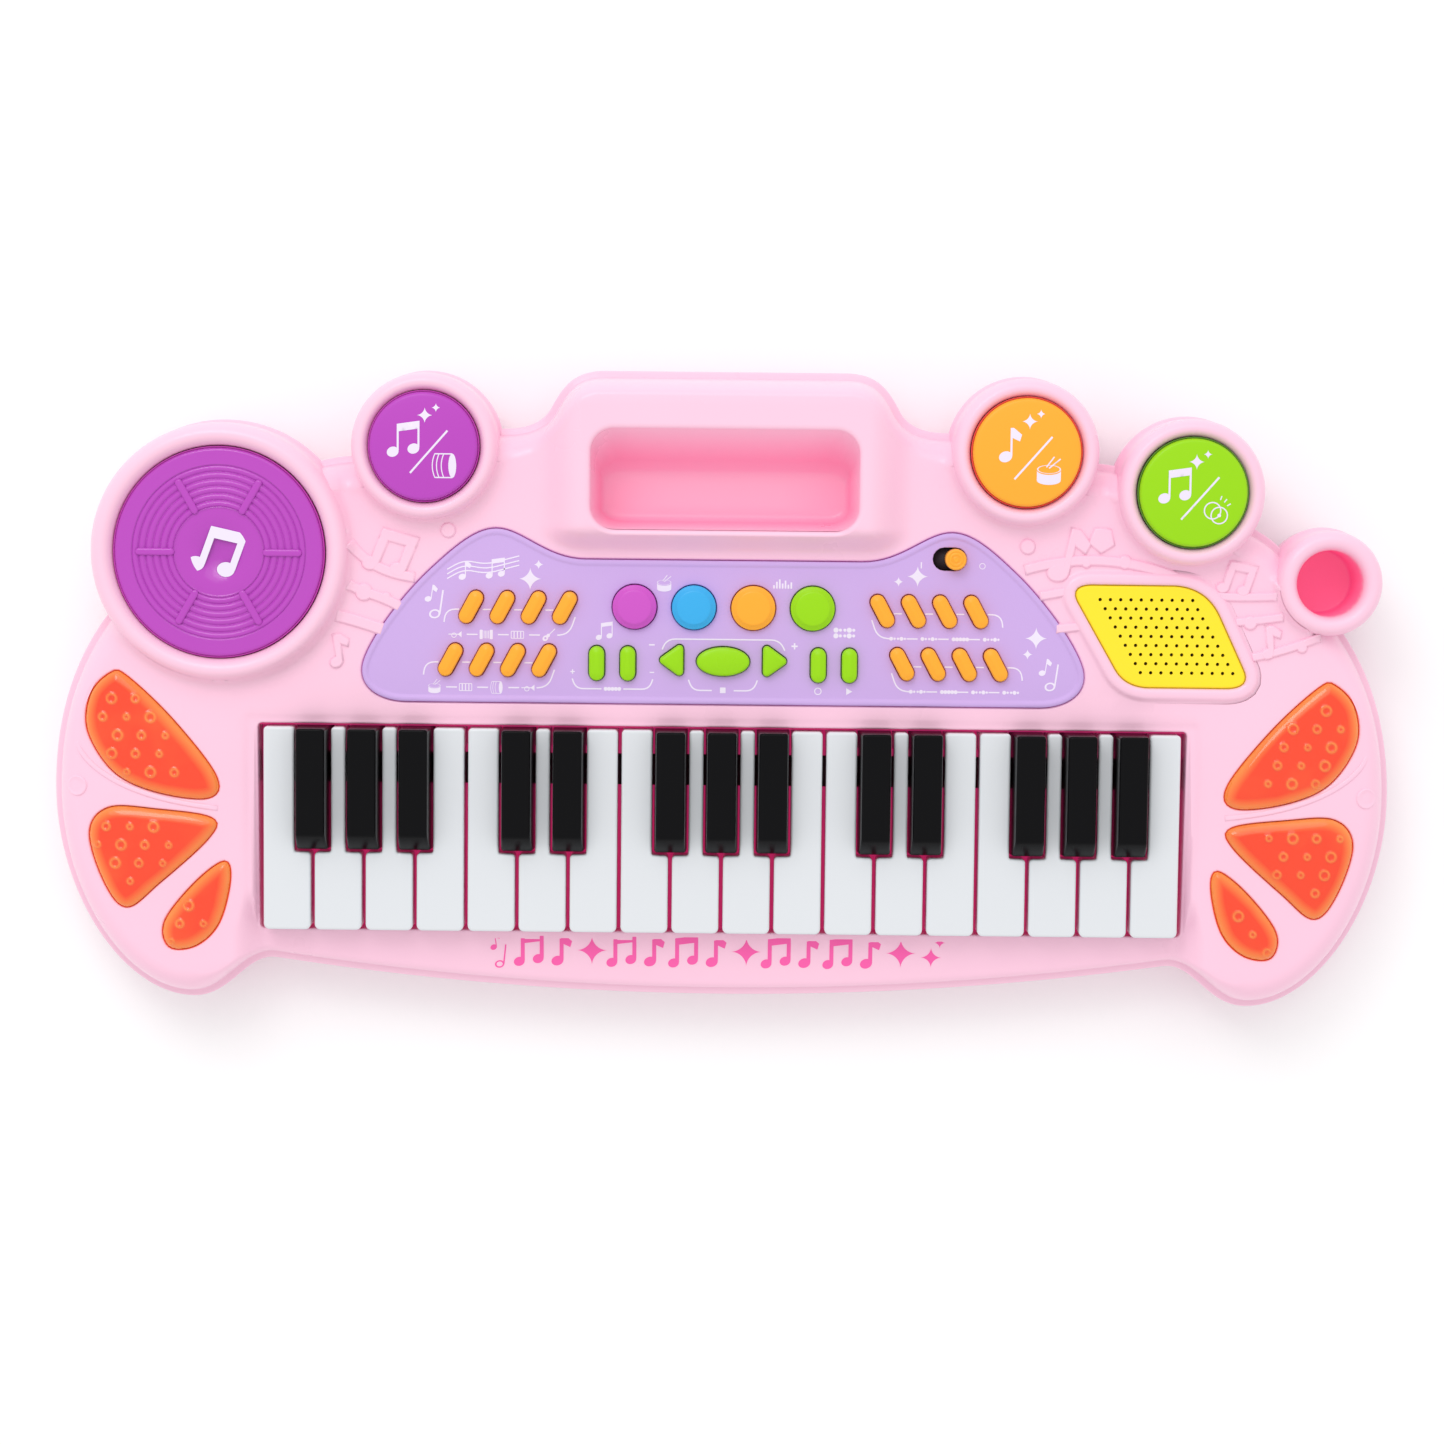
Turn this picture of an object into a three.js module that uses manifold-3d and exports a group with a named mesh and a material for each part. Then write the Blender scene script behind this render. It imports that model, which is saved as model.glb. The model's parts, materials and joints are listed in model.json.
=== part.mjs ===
// Toy electronic keyboard: a two-part moulded case with hinged keys, push buttons, drum pads
// and a turntable. Millimetres, +X to the player's right, +Y to the back, +Z up.
// The origin is the middle of the footprint, on the surface that the keyboard stands on.
import * as THREE from 'three';
import { mergeVertices } from 'three/addons/utils/BufferGeometryUtils.js';
import Module from 'manifold-3d';

const wasm = await Module();
wasm.setup();

// ---- Driving dimensions ----

const HALF_WIDTH = 235;
const HALF_DEPTH = 111;
const WALL = 2.5;
const GAP = 0.3;

// Heights of the case, from the table up.
const FOOT_HEIGHT = 2;
const PARTING = 22;
const DECK = 38;
const HANDLE_TOP = 48;
const FLANGE_TOP = PARTING + 2.5;
const FLANGE_WIDTH = 2.5;
const EDGE_ROLL = { size: 9, drop: 12 };
const BASE_ROLL = { size: 8, drop: 10 };
const UPPER_START = PARTING + GAP / 2;
const LOWER_END = PARTING - GAP / 2;

// Keyboard: 18 white keys from F to B and 13 black ones.
const WHITE_COUNT = 18;
const FIRST_NOTE = 3;
const NOTES_BEFORE_SHARP = [0, 1, 3, 4, 5];
const PITCH = 17.82;
const KEY_GAP = 1.4;
const KEY_FRONT = -84.7;
const KEY_REAR = -13.5;
const KEY_TOP = 40;
const KEY_BOTTOM = PARTING + 7.8;
const KEY_CORNER = 2;
const TONGUE = { front: -21, rear: -3.3, low: 21.2, high: 26.9 };
const BLACK = {
  width: 11.5,
  slot: 12.8,
  front: -56.8,
  shoulder: -51.1,
  top: 48.5,
  narrowing: 0.155,
};
const BLACK_NOTCH_END = BLACK.front - 0.6;

// The shallow recess round the keys, which falls to a low apron in front of them, and the slot in it.
const TROUGH = { halfWidth: 165, rear: -10.4, recess: 36.4, fall: 14, floor: 30, frontDrop: 4.5 };
const SLOT = { halfWidth: 162, rear: -12.4, front: -85.6 };

// Round features of the deck: [x, y].
const TURNTABLE = { x: -174.5, y: 47, radius: 36, ring: 45.75, well: 36.6, floor: 38.5, top: 44 };
const PAD = { radius: 18.65, hole: 19, ring: 26.25, top: 48.2, ledge: 43.2 };
const PAD_PLACES = {
  drum_pad_left: [-103.7, 84.2],
  drum_pad_middle: [103.7, 84.2],
  drum_pad_right: [161.2, 71],
};
const MIC = { x: 210, y: 40, ring: 19, bore: 11.5, tube: 13.8, floor: 18, top: 44 };

// Handle pocket: its mouth in the deck and how it narrows to its floor.
const POCKET = {
  x: 0,
  y: 73.7,
  width: 92.5,
  depth: 34.5,
  corner: 8,
  shrinkX: 0.93,
  shrinkY: 0.54,
  shift: -5.4,
};

// Control panel and its buttons.
const PANEL = { bottom: 36, top: 38.6, ledge: 4, ledgeLow: 33.2 };
const BUTTON = { foot: 33, flangeTop: 34.8, top: 41.5, flange: 0.8, edge: 0.8 };
const STRIP = { lean: 28, length: 12.2, width: 5.1, spacing: 10.84, barHalfWidth: 3 };
const STRIP_ROWS = [
  { name: 'rear', first: 55.1, y: 28.8 },
  { name: 'front', first: 62.2, y: 10.4 },
];
const DRUM = { radius: 7.65, y: 29.4, places: [-30.9, -10.3, 10.3, 30.9], top: 42 };
const OVAL = { length: 12, width: 5.3, y: 9.7, inner: 33.1, outer: 43.9 };
const ARROW = { tip: 23.4, base: 13.8, halfHeight: 5.3, y: 11, corner: 1.4 };
const STOP = { halfWidth: 9.2, halfHeight: 5, y: 10.7 };
const SWITCH = {
  x: 78.3,
  y: 47,
  slotLength: 11.9,
  slotWidth: 8.1,
  knob: 3.65,
  knobX: 80.2,
  top: 43,
  plateHalf: 4.4,
  plateFront: -4.6,
  plateBack: 0.2,
};

// Pieces under the deck.
const SPEAKER = { x: 152, y: 20.8, radius: 25, top: 32.2, bottom: 16 };
const GRILLE = { flangeLow: 32.7, flangeTop: 35.2, flange: 3, top: 39, rim: 4, rimTop: 39.6 };
const LENS = { flangeLow: 32.7, flangeTop: 35.2, flange: 2, top: 40.5, roll: 1.8, drop: 2 };
const BOARD = { halfWidth: 112, front: 0, back: 48, low: 26, high: 27.6 };
const BATTERY = { halfWidth: 34, front: 1.5, back: 46.5, roof: 17.5 };
const SCREW_PLACES = [[133, 62], [-133, 62], [127, 4], [-127, 4], [150, -91], [-150, -91], [0, -97],
  [200, -97], [-200, -97]];
const FOOT_PLACES = [[190, -70], [-190, -70], [178, 48], [-178, 48]];
const PEG_PLACES = [[100, 6], [-100, 6], [100, 42], [-100, 42]];

// ---- Materials ----

function plastic(colour, roughness = 0.35) {
  return new THREE.MeshStandardMaterial({ color: colour, roughness, metalness: 0 });
}

const PINK = plastic(0xfdd0e6);
const WHITE = plastic(0xe6e9ec);
const BLACK_GLOSS = plastic(0x161719, 0.25);
const LAVENDER = plastic(0xc9abe1, 0.5);
const PURPLE = plastic(0xb44bc4, 0.3);
const MAGENTA = plastic(0xc850c0, 0.35);
const BLUE = plastic(0x41b4eb);
const ORANGE = plastic(0xffb43c);
const GREEN = plastic(0xa0dc14);
const YELLOW = plastic(0xffeb32);
const AMBER = plastic(0xfa5a28, 0.2);
const BOARD_GREEN = plastic(0x2c6b3f, 0.6);
const SPEAKER_GREY = new THREE.MeshStandardMaterial({ color: 0x4a4c50, roughness: 0.5, metalness: 0.6 });

// ---- Solids ----

// A solid that can be joined and cut, from a closed three.js geometry.
function toSolid(geometry) {
  const bare = geometry.clone();
  bare.deleteAttribute('normal');
  bare.deleteAttribute('uv');
  const merged = mergeVertices(bare);
  const corners = merged.index.array;
  const kept = [];
  for (let i = 0; i < corners.length; i += 3) {
    const [a, b, c] = corners.slice(i, i + 3);
    if (a !== b && b !== c && c !== a) kept.push(a, b, c);
  }
  const vertProperties = new Float32Array(merged.attributes.position.array);
  return new wasm.Manifold(new wasm.Mesh({ numProp: 3, vertProperties, triVerts: new Uint32Array(kept) }));
}

function toMesh(name, solid, material) {
  const { vertProperties, triVerts } = solid.getMesh();
  const geometry = new THREE.BufferGeometry();
  geometry.setAttribute('position', new THREE.BufferAttribute(vertProperties, 3));
  geometry.setIndex(new THREE.BufferAttribute(triVerts, 1));
  geometry.computeVertexNormals();
  const mesh = new THREE.Mesh(geometry, material);
  mesh.name = name;
  return mesh;
}

function join(...solids) {
  return solids.reduce((whole, piece) => whole.add(piece));
}

// An outline raised straight from low to high.
function slab(outline, low, high) {
  const shape = new THREE.Shape(outline);
  const geometry = new THREE.ExtrudeGeometry(shape, { depth: high - low, bevelEnabled: false });
  return toSolid(geometry.translate(0, 0, low));
}

// A slab with one rim rolled over in a quarter ellipse, the upper rim or the lower one.
function rolledSlab(outline, low, high, roll, { segments = 2, lower = false } = {}) {
  const depth = high - low - roll.drop;
  const geometry = new THREE.ExtrudeGeometry(new THREE.Shape(outline), {
    depth,
    bevelThickness: roll.drop,
    bevelSize: roll.size,
    bevelOffset: -roll.size,
    bevelSegments: segments,
  });
  if (lower) return toSolid(geometry.translate(0, 0, low + roll.drop)).trimByPlane([0, 0, -1], -high);
  return toSolid(geometry.translate(0, 0, low)).trimByPlane([0, 0, 1], low);
}

// A profile of [radius, height] pairs, from the axis at the bottom round to the axis at the top,
// turned about an upright line at [x, y].
function turned(profile, [x, y], segments = 20) {
  const points = profile.map(([radius, height]) => new THREE.Vector2(radius, height));
  const geometry = new THREE.LatheGeometry(points, segments).rotateX(Math.PI / 2);
  return toSolid(geometry.translate(x, y, 0));
}

function block(xLow, xHigh, yLow, yHigh, zLow, zHigh) {
  const geometry = new THREE.BoxGeometry(xHigh - xLow, yHigh - yLow, zHigh - zLow);
  return toSolid(geometry.translate((xLow + xHigh) / 2, (yLow + yHigh) / 2, (zLow + zHigh) / 2));
}

// ---- Outlines, each a counter-clockwise list of points ----

function circle([x, y], radius, steps = 20) {
  return new THREE.Path().absarc(x, y, radius, 0, 2 * Math.PI).getSpacedPoints(steps).slice(0, steps);
}

function roundedRectangle(x, y, width, depth, corner, steps = 3) {
  const [right, back] = [width / 2 - corner, depth / 2 - corner];
  const path = new THREE.Path();
  path.absarc(x + right, y + back, corner, 0, Math.PI / 2);
  path.absarc(x - right, y + back, corner, Math.PI / 2, Math.PI);
  path.absarc(x - right, y - back, corner, Math.PI, 1.5 * Math.PI);
  path.absarc(x + right, y - back, corner, 1.5 * Math.PI, 2 * Math.PI);
  return withoutRepeats(path.getPoints(steps));
}

// A slot shape, leaning by an angle in degrees from the Y axis towards +X.
function capsule(x, y, length, width, lean = 0, steps = 3) {
  const tilt = -THREE.MathUtils.degToRad(lean);
  const reach = new THREE.Vector2(0, (length - width) / 2).rotateAround(new THREE.Vector2(), tilt);
  const path = new THREE.Path();
  path.absarc(x + reach.x, y + reach.y, width / 2, tilt, tilt + Math.PI);
  path.absarc(x - reach.x, y - reach.y, width / 2, tilt + Math.PI, tilt + 2 * Math.PI);
  return withoutRepeats(path.getPoints(steps));
}

function withoutRepeats(points) {
  return points.filter((point, i) => point.distanceTo(points[(i + 1) % points.length]) > 0.01);
}

// The whole outline from its right half, which runs from the front middle to the back middle.
function mirrored(half, steps) {
  const right = half.getPoints(steps);
  const left = right.slice(1, -1).map((point) => new THREE.Vector2(-point.x, point.y)).reverse();
  return withoutRepeats([...right, ...left]);
}

function flipped(outline) {
  return outline.map((point) => new THREE.Vector2(-point.x, point.y)).reverse();
}

// The outline moved outwards by a distance, or inwards where the distance is negative.
function grown(outline, distance) {
  return outline.map((point, i) => {
    const before = point.clone().sub(outline.at(i - 1)).normalize();
    const after = outline[(i + 1) % outline.length].clone().sub(point).normalize();
    const normal = new THREE.Vector2(before.y + after.y, -before.x - after.x);
    return point.clone().addScaledVector(normal, (2 * distance) / normal.lengthSq());
  });
}

// The case: a shallow arc in front between two round lobes, and a stepped back.
function caseOutline() {
  const half = new THREE.Path();
  half.moveTo(0, 2.5 - HALF_DEPTH);
  half.quadraticCurveTo(78.5, 2.5 - HALF_DEPTH, 157, -97);
  half.bezierCurveTo(168, -95.4, 173, -HALF_DEPTH, 186.5, -HALF_DEPTH);
  half.bezierCurveTo(211.5, -HALF_DEPTH, HALF_WIDTH, -75, HALF_WIDTH, -37);
  half.bezierCurveTo(HALF_WIDTH, -8, 226, 12, 215, 26);
  half.bezierCurveTo(206, 37.5, 200, 50, 188, 57);
  half.bezierCurveTo(172, 66.5, 150, 79, 131, 80.5);
  half.bezierCurveTo(112, 82, 95, 90.5, 75, 90.5);
  half.lineTo(0, 90.5);
  return mirrored(half, 4);
}

function handleOutline() {
  const half = new THREE.Path();
  half.moveTo(0, 49);
  half.lineTo(44, 49);
  half.bezierCurveTo(54, 49, 62, 57, 62, 67);
  half.lineTo(62, 90);
  half.bezierCurveTo(62, 101, 57, HALF_DEPTH, 44, HALF_DEPTH);
  half.lineTo(0, HALF_DEPTH);
  return mirrored(half, 3);
}

function panelOutline() {
  const half = new THREE.Path();
  half.moveTo(0, -4.3);
  half.lineTo(110, -4.3);
  half.bezierCurveTo(120, -4.3, 127.5, 1, 125, 9.5);
  half.bezierCurveTo(122, 19, 110, 34, 102, 41.5);
  half.bezierCurveTo(93, 50, 86, 56, 79, 56);
  half.bezierCurveTo(70, 56, 62, 45.6, 48, 45.6);
  half.lineTo(0, 45.6);
  return mirrored(half, 4);
}

function grilleOutline() {
  const path = new THREE.Path();
  path.moveTo(128, 38.5);
  path.quadraticCurveTo(119.5, 38.5, 123.3, 32);
  path.lineTo(136.6, 9);
  path.quadraticCurveTo(140.3, 3.1, 148.6, 3.1);
  path.lineTo(174.5, 3.1);
  path.quadraticCurveTo(184.2, 3.1, 180.7, 10);
  path.lineTo(172.2, 28);
  path.quadraticCurveTo(167.2, 38.5, 155, 38.5);
  return withoutRepeats(path.getPoints(3));
}

// One light window: a closed curve through a few points, given for the right-hand side.
function windowOutline(points, steps = 12) {
  const corners = points.map(([x, y]) => new THREE.Vector3(x, y, 0));
  const curve = new THREE.CatmullRomCurve3(corners, true, 'centripetal');
  return curve.getSpacedPoints(steps).slice(0, steps).map((point) => new THREE.Vector2(point.x, point.y));
}

function lightWindows() {
  return [
    windowOutline([[213, 4.5], [207.5, 3.5], [191.6, -11.4], [176.5, -31], [178.9, -38.9], [196.7, -37.1],
      [211.8, -30.2], [221, -16], [220, -3]]),
    windowOutline([[213.9, -42.7], [197, -43.1], [178, -46], [179, -53], [196.3, -69], [207.7, -77.6],
      [215.5, -69], [220.6, -51.5]]),
    windowOutline([[173.6, -61.2], [171.6, -68], [175.6, -83], [183.7, -91], [193, -91.5], [194.5, -82.5],
      [183.9, -68.8]]),
  ];
}

function arrowOutline(side) {
  const path = new THREE.Path();
  const { tip, base, halfHeight, y, corner } = ARROW;
  const slope = Math.atan2(halfHeight, tip - base);
  path.absarc(tip - 2 * corner, y, corner, slope - Math.PI / 2, Math.PI / 2 - slope);
  path.absarc(base + corner, y + halfHeight - corner, corner, Math.PI / 2 - slope, Math.PI);
  path.absarc(base + corner, y - halfHeight + corner, corner, Math.PI, 1.5 * Math.PI + slope);
  const outline = withoutRepeats(path.getPoints(2));
  return side > 0 ? outline : flipped(outline);
}

function stopOutline(steps = 14) {
  const path = new THREE.Path().absellipse(0, STOP.y, STOP.halfWidth, STOP.halfHeight, 0, 2 * Math.PI);
  return path.getSpacedPoints(steps).slice(0, steps);
}

// ---- Case ----

// The outline, every ring that reaches past it, and the handle.
function footprint() {
  const rings = [
    circle([TURNTABLE.x, TURNTABLE.y], TURNTABLE.ring, 28),
    ...Object.values(PAD_PLACES).map((place) => circle(place, PAD.ring)),
    circle([MIC.x, MIC.y], MIC.ring, 16),
  ];
  return [caseOutline(), handleOutline(), ...rings];
}

// A filler in the corner between the handle's side and the case's back edge, hollow in plan.
function flare(side, inset) {
  const path = new THREE.Path();
  path.moveTo(59.5, 86.5);
  path.lineTo(77, 86.5);
  path.lineTo(77, 90.5 - inset);
  path.bezierCurveTo(68.5, 90.5 - inset, 63 - inset / 3, 93 - inset, 60.9 - inset / 3, 98.5);
  const outline = withoutRepeats(path.getPoints(4));
  return side > 0 ? outline : flipped(outline);
}

// The key trough, widened by an offset where it stands for the wall around it.
function trough(offset) {
  const { rear, recess, fall, floor, halfWidth, frontDrop } = TROUGH;
  const front = -HALF_DEPTH - 10;
  const profile = [[rear + offset, 60], [front, 60], [front, floor - frontDrop - offset],
    [SLOT.front, floor - offset], [SLOT.front + fall, recess - offset], [rear + offset, recess - offset]];
  const shape = new THREE.Shape(profile.map(([y, z]) => new THREE.Vector2(y, z)));
  const width = 2 * (halfWidth + offset);
  const geometry = new THREE.ExtrudeGeometry(shape, { depth: width, bevelEnabled: false });
  geometry.rotateY(Math.PI / 2).rotateX(Math.PI / 2);
  return toSolid(geometry.translate(-width / 2, 0, 0));
}

// The handle pocket: its mouth's outline, narrowing and moving forwards towards the floor.
function pocket(offset, low, high) {
  const [width, depth] = [POCKET.width + 2 * offset, POCKET.depth + 2 * offset];
  const mouth = new THREE.Shape(roundedRectangle(0, 0, width, depth, POCKET.corner + offset));
  const geometry = new THREE.ExtrudeGeometry(mouth, { depth: high - low, steps: 4, bevelEnabled: false });
  const position = geometry.attributes.position;
  for (let i = 0; i < position.count; i += 1) {
    const z = low + position.getZ(i);
    const rise = THREE.MathUtils.clamp((z - PARTING) / (HANDLE_TOP - PARTING), 0, 1) ** 0.8;
    const x = position.getX(i) * THREE.MathUtils.lerp(POCKET.shrinkX, 1, rise);
    const y = position.getY(i) * THREE.MathUtils.lerp(POCKET.shrinkY, 1, rise);
    position.setXYZ(i, POCKET.x + x, POCKET.y + y + POCKET.shift * (1 - rise), z);
  }
  return toSolid(geometry);
}

function turntableTower() {
  const { x, y, ring, well, floor } = TURNTABLE;
  return turned([[0, UPPER_START], [ring - 1, UPPER_START], [ring - 1, 40], [ring - 2, 43.5],
    [ring - 4, 45.6], [ring - 6, 46], [ring - 7.8, 45.2], [well + 0.4, 43.4], [well, 40],
    [well, floor], [0, floor]], [x, y], 28);
}

function turntableRoom() {
  const { x, y, ring, well, floor } = TURNTABLE;
  const roof = floor - WALL;
  return turned([[0, 20], [ring - 3.5, 20], [ring - 3.5, 40], [ring - 4.8, 42.8], [ring - 5.6, 43.4],
    [well + 2.7, 42.5], [well + 2.4, 40], [well + 2.4, roof], [0, roof]], [x, y], 28);
}

function padTower(place) {
  const { ring, hole } = PAD;
  return turned([[0, UPPER_START], [ring - 0.9, UPPER_START], [ring - 0.9, 41], [ring - 1.7, 44.3],
    [ring - 3.6, 46.2], [ring - 5.2, 46.5], [hole + 0.6, 45.8], [hole, 44.6], [0, 44.6]], place);
}

function padRoom(place) {
  const { ring, ledge } = PAD;
  return turned([[0, 20], [ring - 3.3, 20], [ring - 3.3, 41], [ring - 4.7, ledge], [0, ledge]], place);
}

function micTower() {
  const { x, y, ring, top, bore } = MIC;
  return turned([[0, UPPER_START], [ring - 0.8, UPPER_START], [ring - 0.8, 39], [ring - 1.6, 42.3],
    [ring - 3.4, 43.8], [ring - 5, top], [bore + 1, 43.2], [bore + 0.5, 41.5], [0, 41.5]], [x, y], 16);
}

function micRoom() {
  const { x, y, ring } = MIC;
  const profile = [[0, 20], [ring - 3.2, 20], [ring - 3.2, 39], [ring - 4, 40.5], [0, 40.5]];
  return turned(profile, [x, y], 16);
}

// The space under the deck, less a margin on every side.
function roomUnderDeck(margin = 0) {
  const inset = -FLANGE_WIDTH - WALL - margin;
  const outline = grown(caseOutline(), inset);
  return rolledSlab(outline, PARTING - 2, DECK - WALL - margin, EDGE_ROLL, { segments: 1 });
}

function topShell() {
  const padPlaces = Object.values(PAD_PLACES);
  const handle = grown(handleOutline(), -1);
  const outer = join(
    ...footprint().map((outline) => slab(outline, UPPER_START, FLANGE_TOP)),
    ...[-1, 1].map((side) => slab(flare(side, 0), UPPER_START, FLANGE_TOP)),
    ...[-1, 1].map((side) => slab(flare(side, FLANGE_WIDTH), UPPER_START, DECK - 2)),
    rolledSlab(grown(caseOutline(), -FLANGE_WIDTH), UPPER_START, DECK, EDGE_ROLL),
    rolledSlab(handle, UPPER_START, HANDLE_TOP, { size: 11, drop: 10 }),
    turntableTower(),
    micTower(),
    ...padPlaces.map(padTower),
    slab(grown(grilleOutline(), GRILLE.rim), DECK - 1, GRILLE.rimTop),
  );
  const room = join(
    roomUnderDeck(),
    rolledSlab(grown(handle, -WALL), PARTING - 2, HANDLE_TOP - WALL, { size: 10, drop: 9 }, { segments: 1 }),
    turntableRoom(),
    micRoom(),
    ...padPlaces.map(padRoom),
  );
  const panel = panelOutline();
  const lining = join(
    trough(WALL),
    slab(grown(panel, 4), PANEL.ledgeLow, DECK),
    pocket(WALL, UPPER_START, HANDLE_TOP),
    ...SCREW_PLACES.map((place) => slab(circle(place, 4, 8), UPPER_START, DECK - 1)),
  ).intersect(outer);
  const micTube = slab(circle([MIC.x, MIC.y], MIC.tube, 16), MIC.floor - WALL, MIC.top - 3);
  const windows = [...lightWindows(), ...lightWindows().map(flipped)];
  const cuts = join(
    trough(0),
    block(-SLOT.halfWidth, SLOT.halfWidth, SLOT.front, SLOT.rear, PARTING - 1, DECK),
    slab(grown(panel, GAP), PANEL.bottom - GAP, DECK + 5),
    slab(grown(panel, -PANEL.ledge), PARTING, DECK + 5),
    pocket(0, PARTING - 2, HANDLE_TOP + 10),
    slab(circle([MIC.x, MIC.y], MIC.bore, 16), MIC.floor, MIC.top + 10),
    slab(circle([TURNTABLE.x, TURNTABLE.y], 4.4, 10), DECK - 10, DECK + 5),
    ...padPlaces.map((place) => slab(circle(place, PAD.hole), DECK, PAD.top + 5)),
    slab(grown(grilleOutline(), GAP), PARTING + 8, GRILLE.rimTop + 5),
    ...windows.map((outline) => slab(grown(outline, GAP), PARTING + 3, DECK + 5)),
  );
  return outer.subtract(room).add(lining).add(micTube).subtract(cuts);
}

// A flat-topped island in the floor of the bottom shell, hollow from below.
function island(xHalf, yLow, yHigh, top) {
  return {
    body: block(-xHalf, xHalf, yLow, yHigh, FOOT_HEIGHT + 1, top),
    hollow: block(WALL - xHalf, xHalf - WALL, yLow + WALL, yHigh - WALL, -1, top - WALL),
  };
}

function screwHole(place) {
  return turned([[0, -1], [3.4, -1], [3.4, 9], [0, 9]], place, 8);
}

function bottomShell() {
  const regions = footprint().map((outline) => grown(outline, -1));
  const roll = { lower: true, segments: 1 };
  const outer = join(...regions.map((outline) => (
    rolledSlab(outline, FOOT_HEIGHT, LOWER_END, BASE_ROLL, roll))));
  const room = join(...regions.map((outline) => (
    rolledSlab(grown(outline, -WALL), FOOT_HEIGHT + WALL, PARTING + 2, BASE_ROLL, roll))));
  const pocketFloor = island(49, 53, 86, LOWER_END);
  const { halfWidth, front, back, roof } = BATTERY;
  const batteryBox = island(halfWidth + WALL, front - WALL, back + WALL, roof + WALL);
  const floor = FOOT_HEIGHT + 1;
  return outer.subtract(room).add(join(
    pocketFloor.body,
    batteryBox.body,
    ...[-1, 1].map((side) => slab(flare(side, 1), FOOT_HEIGHT + BASE_ROLL.drop, LOWER_END)),
    block(-160, 160, -8, -2.5, floor, TONGUE.low - 0.5),
    ...SCREW_PLACES.map((place) => slab(circle(place, 5, 8), floor, LOWER_END)),
    ...PEG_PLACES.map((place) => slab(circle(place, 3, 6), floor, BOARD.low - GAP)),
    ...FOOT_PLACES.map((place) => slab(circle(place, 8, 16), 0, floor)),
  )).subtract(join(pocketFloor.hollow, batteryBox.hollow, ...SCREW_PLACES.map(screwHole)));
}

function batteryDoor() {
  const { halfWidth, front, back } = BATTERY;
  const floor = FOOT_HEIGHT + 0.1;
  const [width, depth] = [2 * halfWidth - 2 * GAP, back - front - 2 * GAP];
  const middle = (front + back) / 2;
  const plate = slab(roundedRectangle(0, middle, width, depth, 2), floor, floor + 2.2);
  const ribs = [-20, 20].map((x) => block(x - 0.8, x + 0.8, front + 3, back - 3, floor + 2, floor + 3.4));
  return join(plate, ...ribs);
}

// ---- Keys ----

// Whether a black key stands on the boundary between white key i - 1 and white key i.
function hasSharp(i) {
  return i > 0 && i < WHITE_COUNT && NOTES_BEFORE_SHARP.includes((i - 1 + FIRST_NOTE) % 7);
}

function boundary(i) {
  return (i - WHITE_COUNT / 2) * PITCH;
}

// The tongue behind a key, which reaches under the deck to the key's hinge.
function tongue(xLow, xHigh, keyBottom) {
  const { front, rear, low, high } = TONGUE;
  return join(
    block(xLow, xHigh, front, rear, low, high),
    block(xLow, xHigh, front, KEY_REAR, low, keyBottom + 1),
  );
}

function whiteKey(i) {
  const [left, right] = [boundary(i) + KEY_GAP / 2, boundary(i + 1) - KEY_GAP / 2];
  const rearLeft = hasSharp(i) ? boundary(i) + BLACK.slot / 2 : left;
  const rearRight = hasSharp(i + 1) ? boundary(i + 1) - BLACK.slot / 2 : right;
  const path = new THREE.Path();
  path.absarc(left + KEY_CORNER, KEY_FRONT + KEY_CORNER, KEY_CORNER, Math.PI, 1.5 * Math.PI);
  path.absarc(right - KEY_CORNER, KEY_FRONT + KEY_CORNER, KEY_CORNER, 1.5 * Math.PI, 2 * Math.PI);
  path.lineTo(right, BLACK_NOTCH_END);
  path.lineTo(rearRight, BLACK_NOTCH_END);
  path.lineTo(rearRight, KEY_REAR);
  path.lineTo(rearLeft, KEY_REAR);
  path.lineTo(rearLeft, BLACK_NOTCH_END);
  path.lineTo(left, BLACK_NOTCH_END);
  const top = slab(withoutRepeats(path.getPoints(2)), KEY_BOTTOM, KEY_TOP);
  return top.add(tongue(rearLeft, rearRight, KEY_BOTTOM));
}

function blackKey(i) {
  const x = boundary(i);
  const bottom = KEY_BOTTOM + 0.2;
  const side = [[KEY_REAR, bottom], [KEY_REAR, BLACK.top], [BLACK.shoulder, BLACK.top],
    [BLACK.front + 0.5, KEY_TOP + 0.5], [BLACK.front, bottom]];
  const shape = new THREE.Shape(side.map(([y, z]) => new THREE.Vector2(y, z)));
  const geometry = new THREE.ExtrudeGeometry(shape, { depth: BLACK.width, bevelEnabled: false });
  geometry.rotateY(Math.PI / 2).rotateX(Math.PI / 2).translate(-BLACK.width / 2, 0, 0);
  const position = geometry.attributes.position;
  for (let k = 0; k < position.count; k += 1) {
    const rise = (position.getZ(k) - bottom) / (BLACK.top - bottom);
    position.setX(k, x + position.getX(k) * (1 - BLACK.narrowing * rise));
  }
  return toSolid(geometry).add(tongue(x - BLACK.width / 2, x + BLACK.width / 2, bottom));
}

// ---- Panel and buttons ----

function stripCaps(side, row) {
  return [0, 1, 2, 3].map((i) => {
    const x = side * (row.first + STRIP.spacing * i);
    return capsule(x, row.y, STRIP.length, STRIP.width, -side * STRIP.lean);
  });
}

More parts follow.
